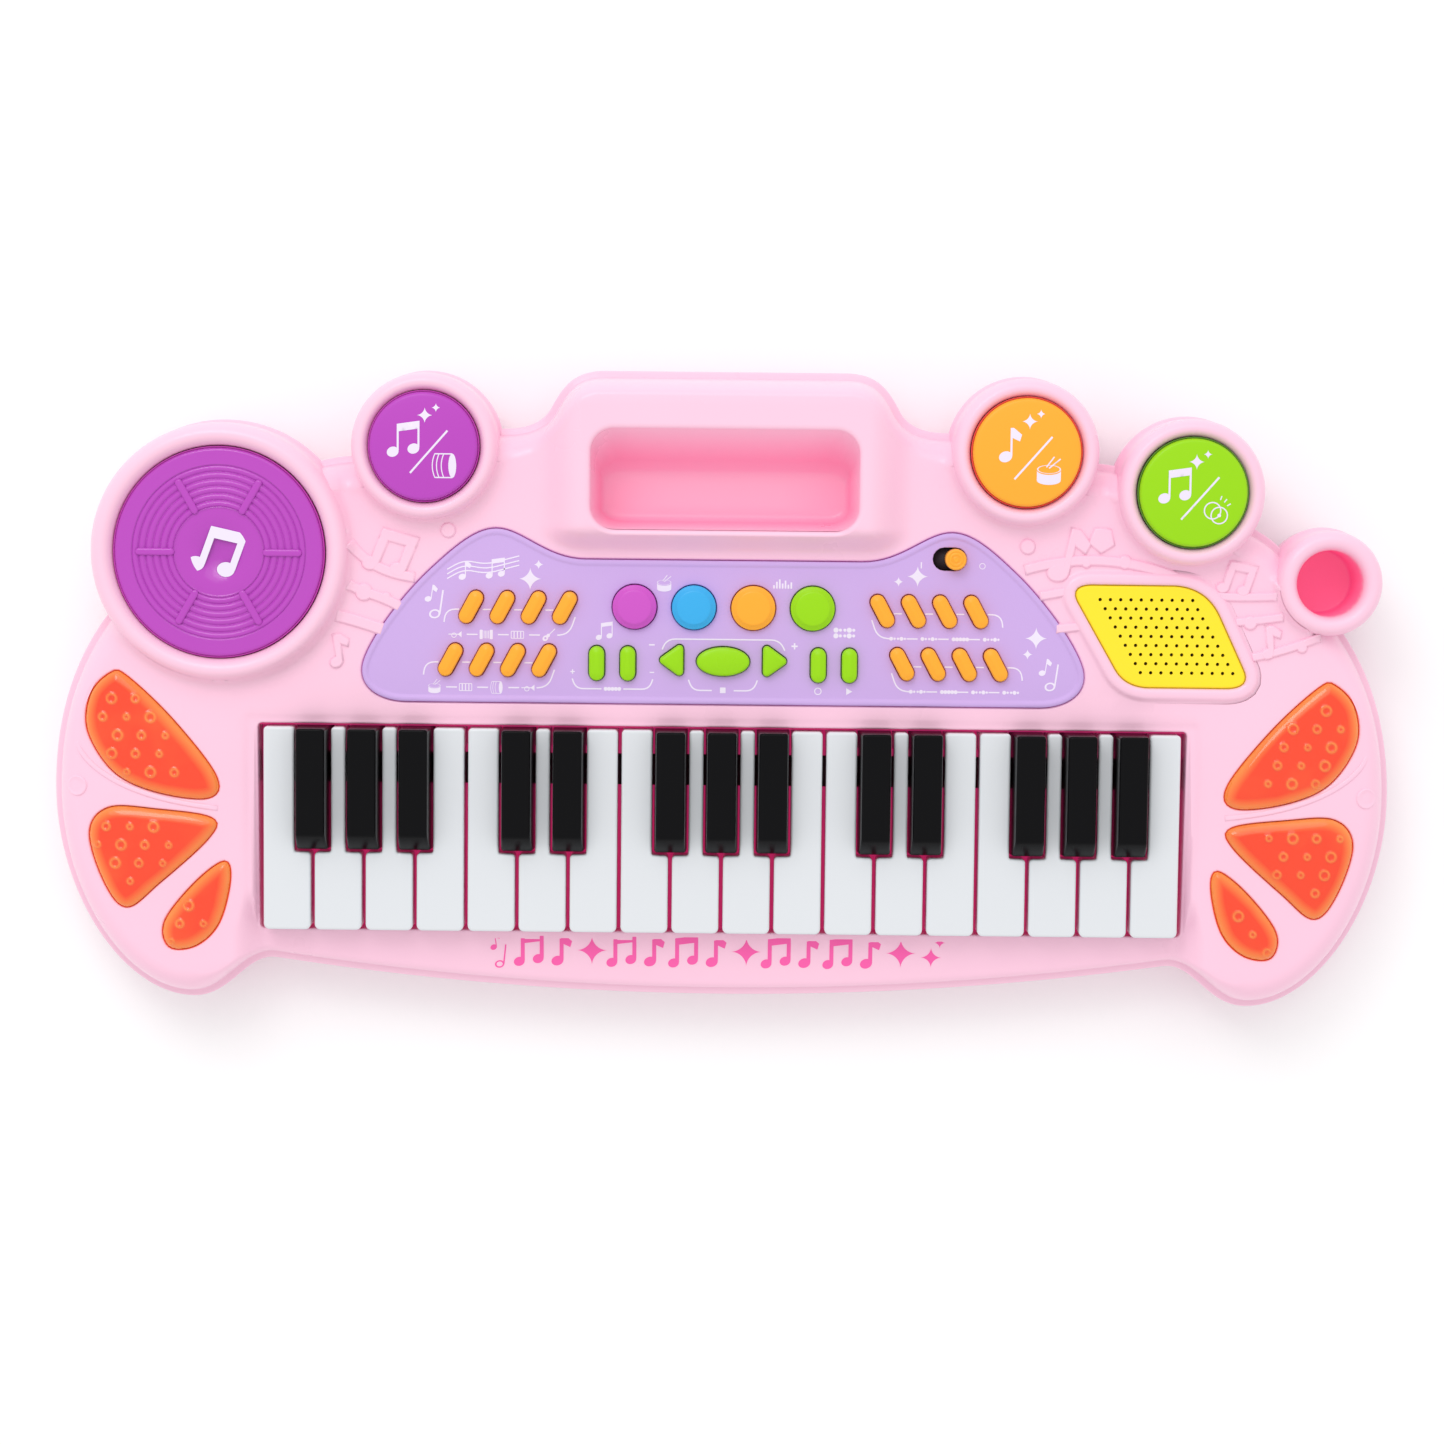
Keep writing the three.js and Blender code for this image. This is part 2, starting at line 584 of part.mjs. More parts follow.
function controlPanel() {
  const { bottom, top } = PANEL;
  const shape = new THREE.Shape(panelOutline());
  const ovals = [-OVAL.outer, -OVAL.inner, OVAL.inner, OVAL.outer];
  const openings = [
    ...DRUM.places.map((x) => circle([x, DRUM.y], DRUM.radius, 16)),
    ...ovals.map((x) => capsule(x, OVAL.y, OVAL.length, OVAL.width)),
    arrowOutline(1),
    arrowOutline(-1),
    stopOutline(),
    ...STRIP_ROWS.flatMap((row) => [...stripCaps(-1, row), ...stripCaps(1, row)]),
  ].map((outline) => grown(outline, GAP));
  const slot = capsule(SWITCH.x, SWITCH.y, SWITCH.slotLength, SWITCH.slotWidth, 90);
  shape.holes = [...openings, slot].map((outline) => new THREE.Path(outline));
  const geometry = new THREE.ExtrudeGeometry(shape, { depth: top - bottom, bevelEnabled: false });
  return toSolid(geometry.translate(0, 0, bottom));
}

// A button cap with rounded rims, and the flange that keeps it under the panel.
function button(outline, top = BUTTON.top) {
  const { foot, flangeTop, flange, edge } = BUTTON;
  const cap = rolledSlab(outline, foot, top, { size: edge, drop: edge }, { segments: 1 });
  return cap.add(slab(grown(outline, flange), foot, flangeTop));
}

function buttonStrip(side, row) {
  const caps = stripCaps(side, row).map((outline) => (
    rolledSlab(outline, BUTTON.foot, BUTTON.top, { size: BUTTON.edge, drop: BUTTON.edge }, { segments: 1 })));
  const ends = [row.first - 2.5, row.first + 3 * STRIP.spacing + 2.5].map((x) => side * x);
  const { barHalfWidth } = STRIP;
  const bar = block(Math.min(...ends), Math.max(...ends), row.y - barHalfWidth, row.y + barHalfWidth,
    BUTTON.foot, BUTTON.flangeTop);
  return join(bar, ...caps);
}

function drumButton(x) {
  return button(circle([x, DRUM.y], DRUM.radius, 16), DRUM.top);
}

function powerSwitch() {
  const { knobX, y, knob, top, plateHalf, plateFront, plateBack } = SWITCH;
  const grip = turned([[0, 34], [knob, 34], [knob, top - 1], [knob - 0.8, top], [0, top]], [knobX, y], 16);
  const plate = block(knobX - plateHalf, knobX + plateHalf, y + plateFront, y + plateBack, 33.4, 35.5);
  return grip.add(plate);
}

// ---- Round pieces ----

function turntableDisc() {
  const { x, y, radius, floor, top } = TURNTABLE;
  const body = turned([[0, 28], [4.2, 28], [5.2, 30], [5.2, floor - WALL - GAP], [4, floor - WALL - GAP],
    [4, floor + 0.5], [radius, floor + 0.5], [radius, top - 0.8], [radius - 0.8, top], [31, top],
    [30.4, top - 0.8], [15, top - 0.8], [13.6, top - 2.2], [9, top - 2.8], [0, top - 2.2]], [x, y], 28);
  const bars = [0, 60, 120, 180, 240, 300].map((degrees) => {
    const angle = THREE.MathUtils.degToRad(degrees);
    const bar = new THREE.BoxGeometry(13.6, 2.6, 2).translate(22, 0, top - 0.6);
    return toSolid(bar.rotateZ(angle).translate(x, y, 0));
  });
  return join(body, ...bars);
}

// A domed pad: a cup open from below, with a flange under the ring.
function drumPad(place) {
  const { radius, top, ledge } = PAD;
  return turned([[0, top - 3], [radius - 3, top - 4.4], [radius - 3, 34], [radius, 34], [radius, 40.4],
    [radius + 2.2, 40.4], [radius + 2.2, ledge - GAP], [radius, ledge - GAP], [radius, top - 2.4],
    [radius - 1.4, top - 1.2], [radius - 7, top - 0.3], [0, top]], place);
}

function speaker() {
  const { x, y, radius, top, bottom } = SPEAKER;
  return turned([[0, bottom], [15, bottom], [15, bottom + 8], [18, bottom + 9.5], [radius - 3, top - 2],
    [radius, top - 2], [radius, top], [radius - 3, top], [radius - 4, top - 1], [8, top - 6],
    [0, top - 4.5]], [x, y]);
}

// ---- Other deck pieces ----

function speakerGrille() {
  const outline = grilleOutline();
  const { flangeLow, flangeTop, flange, top } = GRILLE;
  return slab(outline, flangeLow, top).add(slab(grown(outline, flange), flangeLow, flangeTop));
}

// Three domed windows on one flange, which is kept inside the case.
function lightLens(side) {
  const windows = lightWindows();
  const { flangeLow, flangeTop, flange, top, roll, drop } = LENS;
  const spine = roundedRectangle(184, -49, 10, 60, 3);
  const plate = join(
    slab(spine, flangeLow, flangeTop),
    ...windows.map((outline) => slab(grown(outline, flange), flangeLow, flangeTop)),
  ).intersect(roomUnderDeck(GAP));
  const domes = windows.map((outline) => (
    rolledSlab(outline, flangeLow, top, { size: roll, drop }, { segments: 2 })));
  const lens = join(plate, ...domes);
  return side > 0 ? lens : lens.mirror([1, 0, 0]);
}

function mainBoard() {
  const { halfWidth, front, back, low, high } = BOARD;
  return join(
    block(-halfWidth, halfWidth, front, back, low, high),
    block(-14, 14, 16, 26, high - 0.5, high + 1.8),
    block(70, 82, 42, 47, high - 0.5, high + 3),
  );
}

// ---- Assembly ----

const keyboard = new THREE.Group();

keyboard.add(
  toMesh('top_shell', topShell(), PINK),
  toMesh('bottom_shell', bottomShell(), PINK),
  toMesh('battery_door', batteryDoor(), PINK),
  toMesh('control_panel', controlPanel(), LAVENDER),
  toMesh('speaker_grille', speakerGrille(), YELLOW),
  toMesh('light_lens_left', lightLens(-1), AMBER),
  toMesh('light_lens_right', lightLens(1), AMBER),
  toMesh('speaker', speaker(), SPEAKER_GREY),
  toMesh('main_board', mainBoard(), BOARD_GREEN),
  toMesh('turntable', turntableDisc(), PURPLE),
  toMesh('power_switch', powerSwitch(), ORANGE),
  toMesh('stop_button', button(stopOutline()), GREEN),
);

function numbered(count) {
  return String(count).padStart(2, '0');
}

const keys = new THREE.Group();
let sharps = 0;
for (let i = 0; i < WHITE_COUNT; i += 1) {
  if (hasSharp(i)) {
    sharps += 1;
    keys.add(toMesh(`black_key_${numbered(sharps)}`, blackKey(i), BLACK_GLOSS));
  }
  keys.add(toMesh(`white_key_${numbered(i + 1)}`, whiteKey(i), WHITE));
}
keyboard.add(keys);

const padColours = { drum_pad_left: PURPLE, drum_pad_middle: ORANGE, drum_pad_right: GREEN };
for (const [name, place] of Object.entries(PAD_PLACES)) {
  keyboard.add(toMesh(name, drumPad(place), padColours[name]));
}

const drumColours = [MAGENTA, BLUE, ORANGE, GREEN];
DRUM.places.forEach((x, i) => {
  keyboard.add(toMesh(`drum_button_${i + 1}`, drumButton(x), drumColours[i]));
});

const ovalPlaces = {
  tempo_down_button: -OVAL.outer,
  tempo_up_button: -OVAL.inner,
  record_button: OVAL.inner,
  play_button: OVAL.outer,
};
for (const [name, x] of Object.entries(ovalPlaces)) {
  keyboard.add(toMesh(name, button(capsule(x, OVAL.y, OVAL.length, OVAL.width)), GREEN));
}

const sides = { left: -1, right: 1 };
const arrowNames = { left: 'volume_down_button', right: 'volume_up_button' };
for (const [sideName, side] of Object.entries(sides)) {
  keyboard.add(toMesh(arrowNames[sideName], button(arrowOutline(side)), GREEN));
  for (const row of STRIP_ROWS) {
    keyboard.add(toMesh(`button_strip_${sideName}_${row.name}`, buttonStrip(side, row), ORANGE));
  }
}

export default keyboard;
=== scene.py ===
"""Toy electronic keyboard: the looks, built around the packed frame. Run as a script in Blender 4.5."""
import json
import math

import bmesh
import bpy
import numpy as np
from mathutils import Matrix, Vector
from mathutils.geometry import delaunay_2d_cdt


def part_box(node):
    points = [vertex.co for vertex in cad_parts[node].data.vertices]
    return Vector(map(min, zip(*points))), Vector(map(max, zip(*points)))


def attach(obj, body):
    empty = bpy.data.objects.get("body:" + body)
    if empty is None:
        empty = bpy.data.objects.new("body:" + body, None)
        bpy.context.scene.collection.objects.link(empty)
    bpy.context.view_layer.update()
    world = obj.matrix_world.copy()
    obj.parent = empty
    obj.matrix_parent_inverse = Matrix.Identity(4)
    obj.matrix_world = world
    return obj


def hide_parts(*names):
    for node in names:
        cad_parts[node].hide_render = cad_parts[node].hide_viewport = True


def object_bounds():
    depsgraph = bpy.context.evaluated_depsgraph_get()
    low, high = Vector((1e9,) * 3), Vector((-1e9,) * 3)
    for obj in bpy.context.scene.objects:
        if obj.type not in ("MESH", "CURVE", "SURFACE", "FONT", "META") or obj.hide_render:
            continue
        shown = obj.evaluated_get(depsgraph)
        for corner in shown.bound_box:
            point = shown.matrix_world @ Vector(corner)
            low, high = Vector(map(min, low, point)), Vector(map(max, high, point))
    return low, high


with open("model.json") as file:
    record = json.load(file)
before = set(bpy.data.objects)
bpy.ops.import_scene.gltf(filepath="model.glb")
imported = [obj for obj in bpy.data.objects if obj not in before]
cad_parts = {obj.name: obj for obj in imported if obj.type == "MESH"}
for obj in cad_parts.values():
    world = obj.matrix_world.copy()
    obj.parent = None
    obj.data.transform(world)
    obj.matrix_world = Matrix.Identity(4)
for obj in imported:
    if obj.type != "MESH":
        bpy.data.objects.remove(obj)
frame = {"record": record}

bl_info = {
    "name": "Toy Electronic Keyboard",
    "version": (1, 0, 0),
    "blender": (4, 5, 0),
    "location": "View3D > Sidebar > Keyboard",
    "description": "Builds the moulded case, keys, buttons and prints of a toy electronic keyboard",
    "category": "Add Mesh",
}

CAD_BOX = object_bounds()
MM = 0.001
CASE = "case"

# ---- Sizes in millimetres, from the frame where it gives them ----


def box_mm(node):
    """Lowest and highest corner of a CAD node, in millimetres."""
    low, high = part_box(node)
    return np.array(low) / MM, np.array(high) / MM


def centre_mm(node):
    """The middle of a CAD node's box, in millimetres."""
    low, high = box_mm(node)
    return (low + high) / 2


LOW, HIGH = (np.array(corner) / MM for corner in CAD_BOX)
HALF_WIDTH = (HIGH[0] - LOW[0]) / 2
HALF_DEPTH = (HIGH[1] - LOW[1]) / 2
DECK = 38.0
LOBE = {"rise": 1.3, "x": 199, "y": -40, "across": 26, "along": 48}
PARTING = 22.0
HANDLE_TOP = box_mm("top_shell")[1][2]
UPPER_START = PARTING + 0.15
LOWER_END = PARTING - 0.15
FLANGE_TOP = PARTING + 2.5
FLANGE_WIDTH = 2.5
ROLL_START = FLANGE_TOP + 0.8
SIDE_ROLL = 9.0
FRONT_ROLL = 3.2
HANDLE_ROLL = 6.0
WINDOW_RELIEF = 2.4
BOTTOM_ROLL = 8.0
HANDLE_SLOPE = {"x": 49.0, "run": 17.0, "y": 57.5, "front": 10.5}
POCKET = {"centre": (0, 73.7), "half": (46.25, 17.25), "corner": 8.0, "mouth": HANDLE_TOP - 2.5,
          "floor_share": np.array([0.93, 0.54]), "floor_shift": 5.4}
FOOT_HEIGHT = 2.0
BATTERY = {"half": 34.0, "front": 1.5, "back": 46.5, "roof": 17.5}
SCREWS = [(side * x, y) for x, y in ((133, 62), (127, 4), (150, -91), (200, -97)) for side in (1, -1)]
SCREWS.append((0, -97))
FEET = [(side * x, y) for x, y in ((190, -70), (178, 48)) for side in (1, -1)]

TURNTABLE = centre_mm("turntable")[:2]
TURNTABLE_RADIUS = (box_mm("turntable")[1] - box_mm("turntable")[0])[0] / 2
TURNTABLE_RING = TURNTABLE_RADIUS + 9.75
TURNTABLE_RIM = (39.5, 46.0)
PAD_NAMES = ("drum_pad_left", "drum_pad_middle", "drum_pad_right")
PAD_PLACES = [centre_mm(name)[:2] for name in PAD_NAMES]
PAD_RADIUS = 18.65
PAD_RING = 26.25
PAD_RIM = (41.0, 46.5)
PAD_TOP = box_mm(PAD_NAMES[0])[1][2]
PAD_CROWN = 1.1
MIC = np.array([210.0, 40.0])
MIC_RING = 19.0
MIC_RIM = (39.5, 44.0)
MIC_BORE = 11.5
MIC_FLOOR = 18.0
TOWER_FILLET = 4.0
TOWERS = [(TURNTABLE, TURNTABLE_RING - 1)]
TOWERS += [(place, PAD_RING - 0.9) for place in PAD_PLACES]
TOWERS.append((MIC, MIC_RING - 0.8))
DISC = {"top": 43.6, "groove_low": 42.7, "groove_start": 15.5, "groove_end": 30.2, "groove_pitch": 2.45}

KEY_LOW, KEY_HIGH = box_mm("white_key_01")
KEY_TOP = KEY_HIGH[2]
KEY_FRONT = KEY_LOW[1]
KEY_REAR = -13.5
KEY_BOTTOM = 29.8
TROUGH_HALF = 165.0
TROUGH_REAR = -10.4
TROUGH_FLOOR = 30.0
APRON = {"fall": 4.5, "run": 35.4}
SLOT = {"half": 162.0, "rear": -12.4, "front": KEY_FRONT - 0.9}

PANEL_TOP = box_mm("control_panel")[1][2]
PANEL_FACE = PANEL_TOP - 0.35
GRILLE_TOP = box_mm("speaker_grille")[1][2]
CAP_BASE = 33.2
STRIP = {"lean": 28.0, "length": 12.2, "width": 5.1, "spacing": 10.84}
STRIP_ROWS = {"rear": (55.1, 28.8), "front": (62.2, 10.4)}
DRUMS = [centre_mm(f"drum_button_{k}")[:2] for k in (1, 2, 3, 4)]
DRUM_RADIUS = 7.65
OVAL_NAMES = ("tempo_down_button", "tempo_up_button", "record_button", "play_button")
OVALS = {name: centre_mm(name)[:2] for name in OVAL_NAMES}
OVAL_SIZE = (12.0, 5.3)
SWITCH = {"centre": (78.3, 47.0), "length": 11.9, "width": 8.1, "knob": (80.2, 47.0), "radius": 3.65}
GRILLE_HOLES = {"rows": 9, "columns": 10, "radius": 0.62, "corner": (130.6, 33.6), "across": 3.57,
                "lean": 1.81, "down": 3.16}
BUBBLES = {"start": (3.2, 3.0), "across": 8.3, "lean": 3.1, "up": 6.4, "radius": 0.9, "growth": 0.35}


# ---- Outlines: counter-clockwise arrays of points ----


def bezier(start, first, second, end, count=12):
    """Points of a cubic curve from start, without its end: the four corners weighted by powers of t."""
    t = np.linspace(0, 1, count, endpoint=False)[:, None]
    corners = [np.array(corner, float) for corner in (start, first, second, end)]
    weights = [(1 - t) ** 3, 3 * t * (1 - t) ** 2, 3 * t**2 * (1 - t), t**3]
    return sum(weight * corner for weight, corner in zip(weights, corners))


def quadratic(start, middle, end, count=12):
    """Points of a quadratic curve from start, without its end."""
    start, middle, end = (np.array(corner, float) for corner in (start, middle, end))
    return bezier(start, start + (middle - start) * 2 / 3, end + (middle - end) * 2 / 3, end, count)


def straight(start, end, count=1):
    """Points of a straight line from start, without its end."""
    t = np.linspace(0, 1, count, endpoint=False)[:, None]
    return np.array(start, float) * (1 - t) + np.array(end, float) * t


def arc(centre, radius, start, stop, count=8):
    """Points of an arc, its angles in degrees, with both ends."""
    angle = np.radians(np.linspace(start, stop, count + 1))
    return np.array(centre) + radius * np.stack([np.cos(angle), np.sin(angle)], 1)


def circle(centre, radius, count=64):
    """Points of a circle, from its right side on."""
    return arc(centre, radius, 0, 360, count)[:-1]


def mirrored(*stretches):
    """The whole outline from its right half, which runs from the front middle to the back middle."""
    right = np.concatenate(stretches)
    return np.concatenate([right, (right[1:-1] * (-1, 1))[::-1]])


def flipped(loop):
    """The outline mirrored from one side of the keyboard to the other, still counter-clockwise."""
    return (loop * (-1, 1))[::-1]


def grown(loop, distance):
    """The outline moved outwards: each point goes along the bisector of its two edges' normals."""
    before = loop - np.roll(loop, 1, 0)
    after = np.roll(loop, -1, 0) - loop
    before /= np.linalg.norm(before, axis=1)[:, None]
    after /= np.linalg.norm(after, axis=1)[:, None]
    normal = np.stack([before[:, 1] + after[:, 1], -before[:, 0] - after[:, 0]], 1)
    length = np.maximum((normal**2).sum(1), 0.4)
    return loop + normal * (2 * np.broadcast_to(distance, length.shape) / length)[:, None]


def resampled(loop, count):
    """The outline with evenly spaced points, starting at its first one."""
    closed = np.concatenate([loop, loop[:1]])
    lengths = np.concatenate([[0], np.cumsum(np.linalg.norm(np.diff(closed, axis=0), axis=1))])
    places = np.linspace(0, lengths[-1], count, endpoint=False)
    return np.stack([np.interp(places, lengths, closed[:, k]) for k in (0, 1)], 1)


def supported(loop):
    """The outline with a point near each end of a long edge, so that smooth shading stays flat between."""
    reach = 0.7
    points = []
    for start, end in zip(loop, np.roll(loop, -1, 0)):
        length = np.linalg.norm(end - start)
        points.append(start)
        if length > 3 * reach:
            points.append(start + (end - start) * reach / length)
            points.append(end - (end - start) * reach / length)
    return np.array(points)


def rounded_rectangle(x_low, x_high, y_low, y_high, corner, steps=5):
    """A rectangle with round corners, starting at the front edge's right end."""
    corners = [(x_high, y_low, 270), (x_high, y_high, 0), (x_low, y_high, 90), (x_low, y_low, 180)]
    arcs = []
    for x, y, start in corners:
        inner_x = x - corner if x == x_high else x + corner
        inner_y = y - corner if y == y_high else y + corner
        arcs.append(arc((inner_x, inner_y), corner, start, start + 90, steps))
    return np.concatenate(arcs)


def capsule(centre, length, width, lean=0.0, steps=8):
    """A slot shape; lean turns it from the Y axis towards +X, in degrees."""
    direction = np.array([math.sin(math.radians(lean)), math.cos(math.radians(lean))])
    reach = direction * (length - width) / 2
    upper = arc(np.array(centre) + reach, width / 2, -lean, 180 - lean, steps)
    lower = arc(np.array(centre) - reach, width / 2, 180 - lean, 360 - lean, steps)
    return np.concatenate([upper, lower])


def closed_curve(points, count=90):
    """A smooth closed curve through a few points: uniform Catmull-Rom spans, then even spacing."""
    points = np.array(points, float)
    t = np.linspace(0, 1, 14, endpoint=False)[:, None]
    spans = []
    for k in range(len(points)):
        a, b, c, d = (points[(k + step) % len(points)] for step in (-1, 0, 1, 2))
        spans.append(b + 0.5 * t * (c - a + t * (2 * a - 5 * b + 4 * c - d + t * (3 * (b - c) + d - a))))
    return resampled(np.concatenate(spans), count)


def case_outline():
    """A shallow arc in front between two round lobes, a stepped back, and the handle with flared sides."""
    front = 2.5 - HALF_DEPTH
    return mirrored(
        quadratic((0, front), (78.5, front), (157, -97), 50),
        bezier((157, -97), (168, -95.4), (173, -HALF_DEPTH), (186.5, -HALF_DEPTH), 26),
        bezier((186.5, -HALF_DEPTH), (211.5, -HALF_DEPTH), (HALF_WIDTH, -75), (HALF_WIDTH, -37), 36),
        bezier((HALF_WIDTH, -37), (HALF_WIDTH, -8), (226, 12), (215, 26), 28),
        bezier((215, 26), (206, 37.5), (200, 50), (188, 57), 14),
        bezier((188, 57), (172, 66.5), (150, 79), (131, 80.5), 16),
        bezier((131, 80.5), (112, 82), (95, 90.5), (78, 90.5), 16),
        bezier((78, 90.5), (68.5, 90.5), (63.4, 93), (60.6, 98.5), 12),
        bezier((60.6, 98.5), (56.5, 106.5), (52, HALF_DEPTH), (42, HALF_DEPTH), 16),
        straight((42, HALF_DEPTH), (0, HALF_DEPTH), 10),
        np.array([[0, HALF_DEPTH]]),
    )


def panel_outline():
    """The panel: a straight front, sides that lean in to two shoulders, and a lower straight back."""
    return mirrored(
        straight((0, -4.3), (110, -4.3), 20),
        bezier((110, -4.3), (120, -4.3), (127.5, 1), (125, 9.5), 14),
        bezier((125, 9.5), (122, 19), (110, 34), (102, 41.5), 16),
        bezier((102, 41.5), (93, 50), (86, 56), (79, 56), 14),
        bezier((79, 56), (70, 56), (62, 45.6), (48, 45.6), 16),
        straight((48, 45.6), (0, 45.6), 10),
        np.array([[0, 45.6]]),
    )


def grille_outline():
    """The grille: a leaning four-sided plate, each of its corners a quadratic curve."""
    return resampled(np.concatenate([
        quadratic((128, 38.5), (119.5, 38.5), (123.3, 32)),
        quadratic((136.6, 9), (140.3, 3.1), (148.6, 3.1)),
        quadratic((174.5, 3.1), (184.2, 3.1), (180.7, 10)),
        quadratic((172.2, 28), (167.2, 38.5), (155, 38.5)),
    ]), 120)


def light_windows():
    """The three light windows of the right-hand side."""
    upper = [(213, 4.5), (207.5, 3.5), (191.6, -11.4), (176.5, -31), (178.9, -38.9), (196.7, -37.1),
             (211.8, -30.2), (221, -16), (220, -3)]
    middle = [(213.9, -42.7), (197, -43.1), (178, -46), (179, -53), (196.3, -69), (207.7, -77.6),
              (215.5, -69), (220.6, -51.5)]
    lower = [(173.6, -61.2), (171.6, -68), (175.6, -83), (183.7, -91), (193, -91.5), (194.5, -82.5),
             (183.9, -68.8)]
    return [closed_curve(upper), closed_curve(middle), closed_curve(lower, 70)]


def slot_outline():
    """The opening that the keys stand in."""
    return rounded_rectangle(-SLOT["half"], SLOT["half"], SLOT["front"], SLOT["rear"], 1.6)


# ---- Tests and distances on outlines ----


def inside(loop, points):
    """Whether each point lies in the outline: a ray to the right crosses it an odd number of times."""
    start, end = loop, np.roll(loop, -1, 0)
    x, y = points[:, :1], points[:, 1:2]
    spans = (start[:, 1] > y) != (end[:, 1] > y)
    rise = np.where(end[:, 1] == start[:, 1], 1, end[:, 1] - start[:, 1])
    crossing = start[:, 0] + (y - start[:, 1]) * (end[:, 0] - start[:, 0]) / rise
    return ((spans & (x < crossing)).sum(1) % 2) == 1


def distance_to(loop, points):
    """The shortest distance from each point to the outline's edges."""
    start, edge = loop, np.roll(loop, -1, 0) - loop
    offset = points[:, None] - start[None]
    along = np.clip((offset * edge).sum(2) / np.maximum((edge**2).sum(1), 1e-9), 0, 1)
    return np.sqrt(((offset - along[..., None] * edge) ** 2).sum(2)).min(1)


def smooth_step(low, high, value):
    """0 below low, 1 above high, and the cubic 3t^2 - 2t^3 between them."""
    t = np.clip((value - low) / (high - low), 0, 1)
    return t * t * (3 - 2 * t)


def fillet(distance, radius):
    """How high a concave quarter-round fillet of a wall stands at a distance from the wall."""
    reach = np.clip(radius - distance, 0, radius)
    return radius - np.sqrt(radius**2 - reach**2)


# ---- The deck's surface ----

def trough_height(y):
    """The recess round the keys: shallow behind and beside them, then falling to the apron in front."""
    fall = smooth_step(SLOT["front"] - 1, SLOT["front"] + 15, y)
    apron = TROUGH_FLOOR - APRON["fall"] * np.maximum(SLOT["front"] - y, 0) / APRON["run"]
    return apron * (1 - fall) + (DECK - 0.5) * fall


def deck_height(points):
    """Height of the deck: flat with crowned lobes, a swelling for the handle that falls off as a cosine,
    fillets round the rings, and a key trough with smooth steps for its sides."""
    x, y = np.abs(points[:, 0]), points[:, 1]
    across, along_y = (x - LOBE["x"]) / LOBE["across"], (y - LOBE["y"]) / LOBE["along"]
    height = DECK + LOBE["rise"] * np.exp(-(across**2) - along_y**2)
    for place, radius in TOWERS:
        gap = np.linalg.norm(points - place, axis=1) - radius
        height = height + fillet(np.maximum(gap, 0), TOWER_FILLET)
    beside = np.maximum(x - HANDLE_SLOPE["x"], 0) / HANDLE_SLOPE["run"]
    before = np.maximum(HANDLE_SLOPE["y"] - y, 0) / HANDLE_SLOPE["front"]
    down = np.clip(np.hypot(beside, before), 0, 1)
    height = height + (HANDLE_TOP - DECK) * (0.5 + 0.5 * np.cos(math.pi * down))
    widening = smooth_step(-72, -90, y)
    trough = smooth_step(0, 1, (TROUGH_HALF + 2.4 + 3.6 * widening - x) / (2.8 + 9 * widening))
    trough = trough * smooth_step(TROUGH_REAR + 1.8, TROUGH_REAR - 0.8, y)
    return height * (1 - trough) + trough_height(y) * trough


def shell_height(points):
    """Height of the deck or, near the case's edge, of its rolled edge."""
    across = np.clip((distance_to(case_outline(), points) - FLANGE_WIDTH) / SIDE_ROLL, 0, 1)
    return ROLL_START + (deck_height(points) - ROLL_START) * np.sin(np.arccos(1 - across))


def flat(height):
    """A surface function that has one height everywhere."""
    return lambda points: np.full(len(points), height)


def roll_size(loop):
    """How far in the rolled edge reaches: wide at sides and back, less by the light windows and the apron."""
    x, y = np.abs(loop[:, 0]), loop[:, 1]
    side = SIDE_ROLL - WINDOW_RELIEF * np.exp(-(((y + 6) / 18) ** 2)) * smooth_step(190, 215, x)
    front = smooth_step(-70, -88, y) * smooth_step(184, 168, x)
    handle = smooth_step(88, 95, y) * smooth_step(80, 66, x)
    return side * (1 - front - handle) + FRONT_ROLL * front + HANDLE_ROLL * handle


# ---- Mesh building ----


